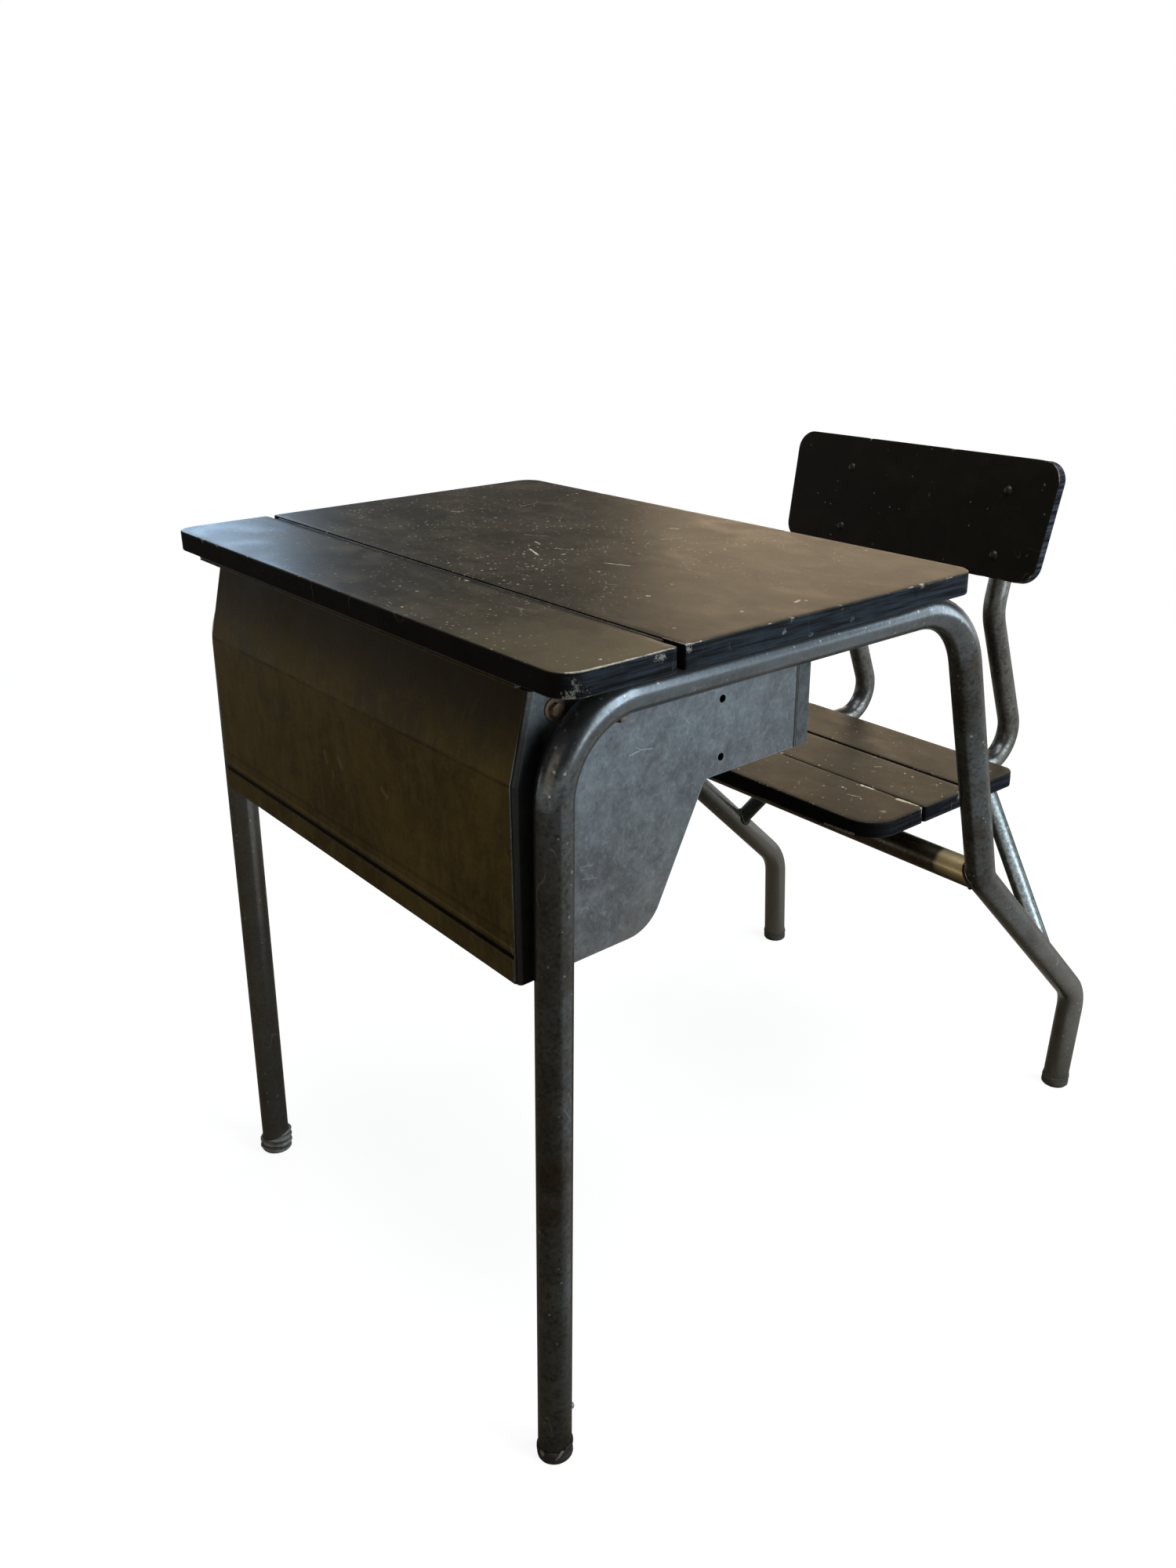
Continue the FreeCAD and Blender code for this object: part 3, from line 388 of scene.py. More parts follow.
def boardMaterial(name, upright=False):
    # hazy paint on the faces, darker striped paint on the flanks with painted shade on the flank that faces the
    # front, and bare wood where either is worn
    finish = boardFinishes[name]
    material, tree, sockets = newMaterial(name + ("BoardSide" if upright else "Board"))
    point = place(tree)
    x, y, z = split(point)
    clouds = effect("mottle", point, scale=7)
    smears = cloud(place(tree, (0.8, 1.2, 1), (0, 0, 0.7)), 22, 6, 0.6, 0.5)
    streaks = cloud(place(tree, finish["grain"]), 60, 4, 0.6)
    haze = plus(spread(clouds, 0.42, 0.58, 0, 0.65), spread(smears, 0.48, 0.66, 0, 0.7))
    colour = coated(finish["face"], (haze, finish["haze"]),
                    (spread(streaks, 0.45, 0.75, 0, 0.2), shade(finish["face"], 0.5)))
    gathered = spread(cloud(point, 14, 3, 0.6), 0.4, 0.6, 0.25, 1)
    if name == "top":
        nearEnd = times(spread(x, 0.05, 0.3), spread(y, -0.315, -0.318))
        nearEnd = times(nearEnd, spread(clouds, 0.35, 0.6, 0.4, 0.9))
        # a dark line just in front of the rear edge of the strip, which stops short of its near end
        seam = lineAt(y, boardWearAndShade["seamAt"], 0.0009, 1.6)
        seam = times(seam, spread(x, boardWearAndShade["seamEnd"] + 0.002, boardWearAndShade["seamEnd"] - 0.002))
        colour = coated(colour, (nearEnd, boardWearAndShade["rubbedEnd"]), (seam, boardWearAndShade["seam"]))
        # there are fewer specks towards the near end, and hardly any underneath
        gathered = times(gathered, spread(x, 0.26, 0.12, 0.3, 1), spread(z, 0.715, 0.725, 0.15, 1))
    flank = spread(painted(tree, "flank"), 0.4, 0.7)
    mostFlank = times(flank, 0.85)
    stripes = cloud(place(tree, (0.12, 0.12, 3)), 120, 4, 0.65)
    # the flank that faces the front is painted darker as painted shade
    side = coated(shade(finish["edge"], 2.3), (spread(stripes, 0.4, 0.6), shade(finish["edge"], 0.3)),
                  (spread(smears, 0.5, 0.7, 0, 0.6), boardWearAndShade["smudge"]),
                  (facing(tree, (0, -1, 0), 0.2, 0.8, 0, 0.95), boardWearAndShade["shadow"]))
    dots = effect("flecks", point, scale=115, share=finish["grit"], size=0.15)
    dust = effect("flecks", point, scale=210, share=finish["grit"], size=0.24)
    specks = times(strongest(dots, times(dust, 0.8)), times(gathered, minus(1, mostFlank)))
    scratch = effect("scratches", place(tree, (1, 3, 1), (0, 0, 0.5)), scale=17, width=0.006, share=0.4)
    ragged = times(minus(cloud(point, 420, 5, 0.75, 1), 0.5), 2.4)
    chips = spread(plus(painted(tree, "wear"), ragged), 0.5, 0.62)
    marks = strongest(specks, times(scratch, 0.2), strokes(point, finish["marks"]), chips)
    bare = coated(finish["bare"], (spread(cloud(point, 260, 3), 0.35, 0.65), shade(finish["bare"], 0.42)),
                  (mostFlank, boardWearAndShade["flankChip"]))
    rough = spread(smears, 0.3, 0.7, *finish["roughness"])
    rough = plus(rough, times(marks, 0.2), times(flank, 0.45))
    dress(sockets, coated(colour, (flank, side), (marks, bare)), rough)
    sockets["Specular IOR Level"].default_value = finish["specular"] * (boardWearAndShade["matt"] if upright else 1)
    waves = plus(times(streaks, finish["waves"]), times(smears, finish["waves"] * 4))
    bump(sockets, minus(waves, chips), 0.0003, 0.5)
    return material


# steel tubes

tubeFinishes = {
    "frame": {"paint": (0.108, 0.124, 0.13), "dark": (0.042, 0.038, 0.031), "bare": (0.42, 0.42, 0.4),
              "metallic": 0.85, "roughness": (0.2, 0.31), "rust": 0.5, "relief": 0.00009,
              # the next two colours are painted light: the paler rear legs below their bends and the lit rail
              "wornAndLit": (0.27, 0.27, 0.255), "railLight": (0.145, 0.175, 0.2),
              "marks": [((270, 8.4, 521), (270.5, 7.9, 508), 1.6, 0.7),
                        ((270.5, 7.8, 508), (273.8, 7, 490), 1.4, 0.75),
                        ((273.8, 7, 490), (272.6, 6.4, 470), 1.3, 0.7)]},
    "seat": {"paint": (0.2, 0.21, 0.207), "dark": (0.085, 0.08, 0.068), "bare": (0.5, 0.5, 0.46),
             "metallic": 0.9, "roughness": (0.28, 0.4), "rust": 0.2, "relief": 0.00003},
    "stay": {"paint": (0.075, 0.095, 0.085), "dark": (0.03, 0.034, 0.028), "bare": (0.3, 0.34, 0.34),
             "metallic": 0.85, "roughness": (0.36, 0.46), "rust": 0.15, "relief": 0.00006,
             "line": (0.84, 0.97, 1), "highlightFacing": (0.537, -0.663, 0.521)},
    "cross": {"paint": (0.12, 0.1, 0.07), "dark": (0.05, 0.04, 0.022), "bare": (0.3, 0.28, 0.2),
              "metallic": 0.85, "roughness": (0.26, 0.38), "rust": 0.35, "relief": 0.00012,
              "sunlitPatch": ((0.06, 0.042, 0.018), (0.98, 0.78, 0.4)), "sunlitFacing": (0, -0.765, 0.644)},
}
rust = (0.07, 0.042, 0.02)


def tubeMaterial(name):
    finish = tubeFinishes[name]
    material, tree, sockets = newMaterial(name + "Tube")
    point = place(tree)
    x, y, z = split(point)
    clouds = effect("mottle", point, scale=9)
    pits = cloud(point, 240, 3, 0.65)
    brown = spread(cloud(point, 28, 4, 0.65), 0.56, 0.7, 0, finish["rust"])
    colour = coated(finish["paint"], (spread(clouds, 0.4, 0.62), finish["dark"]),
                    (spread(pits, 0.48, 0.68, 0, 0.62), shade(finish["dark"], 0.4)), (brown, rust))
    scuffs = effect("flecks", place(tree, (1, 1, 0.4)), scale=90, share=0.07, size=0.14)
    specks = effect("flecks", point, scale=210, share=0.12, size=0.3)
    scratch = effect("scratches", place(tree, (3, 3, 1)), scale=16, width=0.01, share=0.42)
    marks = strongest(times(scuffs, 0.75), times(specks, 0.6), times(scratch, 0.35))
    if name == "frame":
        # painted light: the steel below the bends of the rear legs is painted paler where the window light falls
        # on it, most of all on the right leg
        low = times(spread(y, 0.1, 0.34), spread(z, 0.42, 0.14), spread(x, 0.15, -0.15, 0.4, 0.95))
        low = strongest(low, spread(x, -0.2, -0.25, 0, 0.3))
        # painted light: the rail and its bends are painted a paler, cooler steel where cool light falls on them,
        # fading towards the rear
        rail = times(spread(z, 0.645, 0.7), spread(clouds, 0.38, 0.62, 0.95, 0.5),
                     spread(y, -0.1, 0.3, 1, 0.35))
        colour = coated(colour, (low, finish["wornAndLit"]), (rail, finish["railLight"]))
        marks = strongest(marks, strokes(point, finish["marks"]))
    colour = blend(marks, colour, finish["bare"])
    if name == "stay":
        # painted highlight: the front is painted bright in a narrow line where the lamp glints
        line = times(facing(tree, finish["highlightFacing"], 0.8, 0.98), spread(pits, 0.4, 0.6, 1, 0.5))
        colour = blend(line, colour, finish["line"])
    metallic = finish["metallic"]
    if name == "cross":
        # painted light: a golden patch of sunlight on the near end beside the left leg, with a painted highlight
        # along its upper middle
        golden = spread(x, 0.208, 0.213)
        glow = times(facing(tree, finish["sunlitFacing"], 0.35, 0.96), spread(x, 0.21, 0.235, 0.6, 1))
        colour = blend(times(golden, spread(clouds, 0.3, 0.6, 1, 0.75)), colour, blend(glow, *finish["sunlitPatch"]))
        metallic = minus(metallic, times(golden, 0.3))
    dress(sockets, colour, spread(clouds, 0.35, 0.65, *finish["roughness"]), metallic)
    bump(sockets, plus(pits, times(cloud(point, 120, 2), 1.2)), finish["relief"], 0.5)
    return material


# sheet metal

zincFinish = {
    "sheet": (0.172, 0.21, 0.236), "dark": (0.075, 0.088, 0.102), "bright": (0.36, 0.42, 0.45),
    "lower": (0.94, 0.86, 0.8), "stain": (0.13, 0.115, 0.095), "seam": (0.002, 0.002, 0.002),
    "dirtAndShade": (0.003, 0.003, 0.003), "seamAt": -0.1298,
    "marks": marksOn(0, 256.5, [
        (107, 629.5, 0.7, 0.9, 12, 2), (119, 631.5, 0.6, 0.8, 11, -2), (113, 634.5, 0.5, 0.6, 6, -3),
        (58, 552, 0.5, 0.4, 12, -2), (60, 541, 0.6, 0.4, 14, -3), (163, 646, 0.6, 0.4, 5, -5)]),
}


def seamGap(point):
    # the ragged black line down the box's sides where the rear sheet is folded round
    wobble = times(minus(cloud(point, 90, 3, 0.7), 0.5), 0.002)
    return lineAt(plus(split(point)[1], wobble), zincFinish["seamAt"], 0.0009, 1.8)


def zincMaterial():
    finish = zincFinish
    material, tree, sockets = newMaterial("zincSheet")
    point = place(tree)
    y, z = split(point)[1:]
    sheet, dark, bright = (finish[key] for key in ("sheet", "dark", "bright"))
    clouds = effect("mottle", point, scale=11)
    fine = cloud(place(tree, turn=(0.9, 0, 0)), 60, 8, 0.72, 0.5)
    grain = cloud(place(tree, (1, 1, 0.65), (-0.6, 0, 0)), 210, 5, 0.75, 0.6)
    patches = plus(times(clouds, 0.5), times(fine, 0.5))
    colour = blend(spread(patches, 0.42, 0.6), dark, sheet)
    colour = blend(spread(z, 0.62, 0.54), colour, finish["lower"], way="MULTIPLY")
    # fine slanting rub marks, lighter and darker than the sheet
    slanting = put(tree, "Mapping", {"Vector": point, "Rotation": (0.75, 0, 0), "Scale": (1, 3.5, 1)},
                   vector_type="TEXTURE").outputs["Vector"]
    rubs = cloud(slanting, 420, 6, 0.75)
    scratch = effect("scratches", place(tree, (1, 1, 2.5), (0.4, 0, 0)), scale=22, width=0.008, share=0.43)
    wornAndLit = effect("rubbedEdge", point, radius=0.0015, breakUp=0.5)
    marks = strongest(times(scratch, 0.4), times(wornAndLit, 0.5), times(strokes(point, finish["marks"]), 0.6))
    stain = times(spread(z, 0.53, 0.48), spread(clouds, 0.45, 0.55, 0.1, 0.6))
    # painted shade where the front leg stands close by and shades the sheet
    beside = times(spread(y, -0.384, -0.393), spread(z, 0.695, 0.665, 0, 0.92))
    colour = coated(colour, (spread(y, -0.22, -0.14, 0, 0.35), dark),
                    (spread(grain, 0.52, 0.75, 0, 0.35), bright),
                    (spread(grain, 0.45, 0.25, 0, 0.65), dark), (spread(rubs, 0.54, 0.72, 0, 0.22), bright),
                    (spread(rubs, 0.46, 0.28, 0, 0.3), dark), (marks, bright),
                    (stain, finish["stain"]), (seamGap(point), finish["seam"]), (beside, finish["dirtAndShade"]))
    dress(sockets, colour, spread(fine, 0.3, 0.7, 0.4, 0.56), 0.3)
    bump(sockets, plus(times(clouds, 2), times(grain, 0.3)), 0.0006, 0.35)
    return material


panelFinish = {
    "paint": (0.1, 0.074, 0.022), "stain": (0.055, 0.04, 0.012), "rub": (0.15, 0.114, 0.046),
    "bare": (0.24, 0.2, 0.12), "dirtAndShade": (0.012, 0.008, 0.002), "crease": (0.002, 0.0015, 0.001),
    "groove": (0.001, 0.001, 0.001), "lip": (0.008, 0.006, 0.003), "black": (0.002, 0.002, 0.002),
    "endDark": (0.075, 0.085, 0.09), "endPale": (0.125, 0.145, 0.16),
    "creaseAt": 0.632, "grooveAt": 0.4945, "rimAt": 0.501, "lipAt": 0.511,
    "marks": marksOn(1, -1.5, [
        (-29.5, 575, 3.2, 0.3, 2.5, -7), (-3.5, 577, 3.4, 0.32, 2.5, -6), (-17.8, 561, 1.8, 0.28, 1.8, -4),
        (68.5, 571.5, 2.6, 0.35, 7.5, -4.5), (248, 503, 1.1, 0.5, 2, -6), (184, 502, 1.2, 0.4, 3, -2),
        (-70, 520, 0.8, 0.3, 8, -9)]),
}


def panelMaterial():
    # brown paint on the broad faces, and the zinc's greys painted on the flanges that turn sideways as the side
    # light falls on them
    finish = panelFinish
    material, tree, sockets = newMaterial("boxPaint")
    point = place(tree)
    y, z = split(point)[1:]
    clouds = effect("mottle", point, scale=9)
    runs = cloud(place(tree, (2, 1, 0.5)), 40, 6, 0.7, 0.5)
    smudge = cloud(place(tree, turn=(0, 0.5, 0)), 70, 6, 0.72, 0.8)
    # darker along the crease, broken up by noise
    creaseNoise = cloud(place(tree, (0.3, 1, 1)), 60, 4, 0.7)
    crease = times(spread(lineAt(z, finish["creaseAt"], 0.0022), 0, 0.7), spread(creaseNoise, 0.4, 0.6, 0.1, 0.6))
    groove = spread(lineAt(z, finish["grooveAt"], 0.003), 0, 0.5)
    lip = times(lineAt(z, finish["lipAt"], 0.003), 0.35)
    # the top band is painted dark as the shadow under the top's overhang
    colour = coated(finish["stain"], (spread(clouds, 0.42, 0.58), finish["paint"]),
                    (spread(runs, 0.48, 0.75, 0, 0.5), finish["rub"]),
                    (spread(smudge, 0.5, 0.7, 0, 0.4), finish["rub"]),
                    (spread(z, 0.63, 0.69, 0, 0.8), finish["dirtAndShade"]),
                    (crease, finish["crease"]), (groove, finish["groove"]), (lip, finish["lip"]))
    # the front flange lies in the leg's shade but for a band that narrows downwards
    back = spread(minus(y, spread(z, 0.62, 0.71, 0, 0.009)), -0.418, -0.4145, 0, 0.97)
    rearEnd = spread(y, -0.3, -0.25)
    greys = blend(spread(smudge, 0.4, 0.6), finish["endDark"], finish["endPale"])
    grey = coated(zincFinish["dark"], (spread(clouds, 0.42, 0.58), zincFinish["sheet"]),
                  (back, finish["black"]), (rearEnd, greys), (times(rearEnd, seamGap(point)), finish["black"]))
    # painted light: the faces that turn sideways are coloured like the lit zinc side
    sideways = spread(calc("ABSOLUTE", split(put(tree, "NewGeometry").outputs["Normal"])[0]), 0.5, 0.8)
    wornAndLit = effect("rubbedEdge", point, radius=0.0015, breakUp=0.6)
    flecks = effect("flecks", point, scale=60, share=0.05, size=0.1)
    scratch = effect("scratches", place(tree, (1, 1, 1.5), (0, 0.5, 0)), scale=20, width=0.008, share=0.42)
    rim = lineAt(z, finish["rimAt"], 0.002)
    marks = strongest(times(wornAndLit, 0.35), times(flecks, 0.4), times(scratch, 0.12),
                      times(rim, 0.3), strokes(point, finish["marks"]))
    dress(sockets, coated(colour, (sideways, grey), (marks, finish["bare"])),
          spread(clouds, 0.3, 0.7, 0.42, 0.6))
    sockets["Specular IOR Level"].default_value = 0.06
    bump(sockets, plus(clouds, times(smudge, 0.4)), 0.0008, 0.35)
    return material


# fittings: colour, darker colour, roughness and how metallic
fittings = {
    "fastener": ((0.2, 0.19, 0.175), (0.08, 0.07, 0.06), 0.36, 0.9),
    "paleScrew": ((0.5, 0.49, 0.45), (0.14, 0.13, 0.11), 0.3, 0.5),
    "rustyBolt": ((0.25, 0.185, 0.125), (0.07, 0.05, 0.033), 0.42, 0.5),
    "darkBolt": ((0.018, 0.016, 0.013), (0.008, 0.007, 0.006), 0.34, 0.3),
    "hingeSteel": ((0.1, 0.085, 0.06), (0.03, 0.026, 0.02), 0.4, 0.6),
    "weldBead": ((0.03, 0.027, 0.023), (0.012, 0.01, 0.008), 0.42, 0.5),
}


def plainMetal(name, colour, dark, roughness, metallic):
    material, tree, sockets = newMaterial(name)
    point = place(tree)
    clouds = effect("mottle", point, scale=60)
    dress(sockets, blend(spread(clouds, 0.38, 0.62), dark, colour),
          spread(clouds, 0.35, 0.65, roughness + 0.12, roughness), metallic)
    bump(sockets, cloud(point, 700, 2), 0.0002, 0.3)
    return material


# rubber and tape: dark colour, paler colour and roughness
rubbers = {
    "rubber": ((0.014, 0.013, 0.011), (0.06, 0.056, 0.046), 0.62),
    "greyRubber": ((0.05, 0.048, 0.04), (0.17, 0.165, 0.15), 0.5),
    "greyTape": ((0.035, 0.034, 0.03), (0.3, 0.31, 0.3), 0.4),
}
# a pale stud and a scuffed rim, both on the left front cap
capScuffs = [((274.6, -9.3, 9.5), (274.8, -9.3, 9.4), 2.8, 1),
             ((286.5, -2.5, 7), (288.4, 5, 17), 1.2, 0.7)]


def rubberMaterial(name, dark, pale, roughness):
    material, tree, sockets = newMaterial(name)
    point = place(tree)
    dirtAndShade = effect("mottle", point, scale=45)
    amount = calc("ADD", spread(dirtAndShade, 0.45, 0.7, 0, 0.5), times(painted(tree, "fold"), 0.6), clamp=True)
    dress(sockets, coated(dark, (amount, pale), (strokes(point, capScuffs), (0.22, 0.225, 0.21))), roughness)
    bump(sockets, cloud(point, 350, 4, 0.7), 0.0008, 0.7)
    return material


materials = {name: boardMaterial(name) for name in boardFinishes}
materials.update({name + "Side": boardMaterial(name, True) for name in boardFinishes})
materials.update({name + "Tube": tubeMaterial(name) for name in tubeFinishes})
materials.update({"zinc": zincMaterial(), "panel": panelMaterial()})
materials.update({name: plainMetal(name, *values) for name, values in fittings.items()})
materials.update({name: rubberMaterial(name, *values) for name, values in rubbers.items()})

finishOfSlot = {"frame_paint": "frameTube", "seat_tube": "seatTube", "rubber": "rubber", "dark_board": "top",
                "box_paint": "panel", "zinc_sheet": "zinc", "fastener": "fastener", "hinge_steel": "hingeSteel"}
finishOfNode = {"cross_tube": "crossTube", "corner_bolts": "rustyBolt", "corner_washers": "rustyBolt",
                "backrest_bolts": "darkBolt", "foot_screws": "paleScrew", "seat_stay_left": "stayTube",
                "seat_stay_right": "stayTube"}
for part in frame["record"]["subparts"]:
    slots = nodes[part["node"]].data.materials
    slots.clear()
    slots.append(materials[finishOfNode.get(part["node"], finishOfSlot[part["material_slot"]])])
print("finishes made:", len(materials))


# helpers for surfaces

def newPiece(name, grid, faces, finish, body, replaced=(), values=None):
    # the grid's points are in millimetres behind the top's front edge
    mesh = bpy.data.meshes.new(name)
    points = grid.reshape(-1, 3) - np.array([0.0, frontToMiddle / mm, 0.0])
    mesh.from_pydata((points * mm).tolist(), [], faces)
    mesh.polygons.foreach_set("use_smooth", np.ones(len(mesh.polygons), bool))
    for label, amounts in (values or {}).items():
        mesh.attributes.new(label, "FLOAT", "POINT").data.foreach_set("value", amounts.ravel().astype(np.float32))
    mesh.materials.append(materials[finish])
    piece = bpy.data.objects.new(name, mesh)
    bpy.context.scene.collection.objects.link(piece)
    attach(piece, body)
    if replaced:
        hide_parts(*replaced)
    return piece


def gridFaces(rows, columns, closedRows=False):
    # quads between neighbours of a grid whose columns run round and meet again
    row = np.arange(rows if closedRows else rows - 1)[:, None]
    column = np.arange(columns)[None, :]
    up, along = (row + 1) % rows, (column + 1) % columns
    quads = np.stack([row * columns + column, row * columns + along, up * columns + along,
                      up * columns + column], axis=-1)
    return quads.reshape(-1, 4).tolist()


def cappedFaces(rows, columns):
    # the grid's quads, and a face across its first row and one across its last
    last = (rows - 1) * columns
    return gridFaces(rows, columns) + [list(range(columns))[::-1], list(range(last, last + columns))]


def ripple(count, waves, seed, softness=0.6):
    # a closed sum of cosines of random phase, whose strength falls with their number, within about -1 to 1
    rng = np.random.default_rng(seed)
    number = np.arange(1, waves + 1)
    turn = np.arange(count)[:, None] * (2 * np.pi / count) * number
    total = (np.cos(turn + rng.uniform(0, 2 * np.pi, waves)) * number ** -softness).sum(axis=1)
    return total / np.abs(total).max()


def unit(vector):
    return vector / np.linalg.norm(vector, axis=-1, keepdims=True)


def turnsOf(count):
    return np.arange(count) * (2 * np.pi / count)


def circle(turns, *height):
    return np.stack([np.cos(turns), np.sin(turns), *(np.full(len(turns), level) for level in height)], axis=-1)


# boards with rounded, chipped edges

# spacing round the outline in mm, how much finer the corners are, and the fewest points in a corner and on a side;
# then the rows in a rounded arris, the insets of the flat faces' rows and the heights of the upright rows
boardCut = {"step": 1.3, "finer": 1.6, "cornerLeast": 5, "sideLeast": 4, "arris": 6, "insets": (26.0, 7.0),
            "upright": (0.25, 0.5, 0.75), "smallChip": 4.5}


def roundedOutline(corners, radii):
    # a polygon run anticlockwise whose corners are arcs, with the outward direction at each point
    corners = np.array(corners, float)
    step = boardCut["step"]
    arcs = []
    for index, radius in enumerate(radii):
        here = corners[index]
        back = unit(corners[index - 1] - here)
        ahead = unit(corners[(index + 1) % len(corners)] - here)
        half = math.acos(back @ ahead) / 2
        centre = here + unit(back + ahead) * radius / math.sin(half)
        sweep = math.pi - 2 * half
        pieces = max(boardCut["cornerLeast"], round(radius * sweep / step * boardCut["finer"]))
        ways = circle(math.atan2(back[0], -back[1]) + np.linspace(0, sweep, pieces))
        arcs.append((centre + radius * ways, ways))
    places, outward = [], []
    for index, (arc, ways) in enumerate(arcs):
        start, end = arc[-1], arcs[(index + 1) % len(arcs)][0][0]
        pieces = max(boardCut["sideLeast"], round(np.linalg.norm(end - start) / step))
        share = np.linspace(0, 1, pieces)[1:-1, None]
        places += [arc, start + (end - start) * share]
        outward += [ways, np.repeat(ways[-1:], len(share), axis=0)]
    return np.concatenate(places), np.concatenate(outward)


def wornBoard(name, board):
    # each row is the outline at one height, from inside the underside round to inside the upper face; an arris is
    # a quarter circle whose radius ripples, and a chip sinks the points by a bell curve of their distance
    outline, outward = roundedOutline(board["corners"], board["radii"])
    count = len(outline)
    low, high = board["levels"]
    seed = board["seed"]
    middle = outline.mean(axis=0)
    size = np.abs(outline - middle).max(axis=0)
    # the arrises that face the gap between the boards are kept sharper and cleaner
    soft = np.where(outward[:, 1] * board.get("crisp", 0) > 0.9, 0.35, 1.0)
    rows, edges, flanks = [], [], []

    def addRow(places, level, edge=0.0, flank=0.0):
        rows.append(np.column_stack([places, np.broadcast_to(level, count)]))
        edges.append(np.full(count, edge))
        flanks.append(np.full(count, flank))

    def addFlat(level, insets):
        for inset in insets:
            addRow(middle + (outline - middle) * (1 - inset / size), level)

    def addArris(level, upward, turns, edge):
        coarse = ripple(count, 40, seed + int(level) % 7)
        fine = ripple(count, 400, seed + 11 + int(level) % 5, 0.3)
        radius = soft * (1.25 + 0.2 * coarse + 0.12 * np.clip(fine, 0, 1))
        for turn in turns:
            addRow(outline - outward * (radius * (1 - math.sin(turn)))[:, None],
                   level + upward * radius * (1 - math.cos(turn)), math.sin(2 * turn) * edge, turn / (np.pi / 2))

    quarter = np.linspace(0, np.pi / 2, boardCut["arris"])
    addFlat(low, boardCut["insets"])
    addArris(low, 1, quarter, 0.8)
    bulge = 0.1 * ripple(count, 30, seed + 31) - 0.03
    for share in boardCut["upright"]:
        swollen = outline + outward * bulge[:, None] * math.sin(math.pi * share)
        addRow(swollen, low + (high - low) * share, flank=1.0)
    addArris(high, -1, quarter[::-1], 1.0)
    addFlat(high, boardCut["insets"][::-1])

    edge = np.stack(edges)
    broken = board["rub"] + 0.28 * ripple(count, 260, seed + 3, 0.45) + 0.12 * ripple(count, 14, seed + 4)
    wear = edge * np.clip(broken, 0, 1) * soft
    axes = np.array(board.get("axes", np.eye(3)), float)
    placed = np.array(board.get("origin", (0, 0, 0)), float) + np.stack(rows) @ axes
    inward = -(np.concatenate([outward, np.zeros((count, 1))], axis=1) @ axes)
    for chip, reach, depth, amount in board["chips"]:
        near = np.exp(-((placed - np.array(chip)) ** 2).sum(axis=-1) / reach ** 2)
        placed = placed + inward * (near * depth)[..., None]
        # small chips show beyond the arris too
        wear = wear + near * amount * np.maximum(edge, 1.0 if reach < boardCut["smallChip"] else 0.0)
    faces = cappedFaces(len(rows), count)
    piece = newPiece(name, placed, faces, board["finish"], board["body"], [board["node"]],
                     {"wear": wear, "flank": np.stack(flanks)})
    # the faces between the two arrises take the second finish
    piece.data.materials.append(materials[board["finish"] + "Side"])
    first = len(boardCut["insets"]) + boardCut["arris"] - 1
    after = first + len(boardCut["upright"]) + 1
    upright = np.zeros(len(faces), np.int32)
    upright[first * count:after * count] = 1
    piece.data.polygons.foreach_set("material_index", upright)
    print(name, "made with", placed.shape[0] * placed.shape[1], "points")


def rectangle(front, rear, half):
    return [(-half, front), (half, front), (half, rear), (-half, rear)]


def slat(front, rear, radii):
    return {"body": "desk", "finish": "seat", "corners": rectangle(front, rear, 188), "radii": radii,
            "levels": (413.1, 431.1)}


# how far the backrest leans back per height, and the length of one height along it
backTilt = 0.207
backLean = math.sqrt(1 + backTilt ** 2)

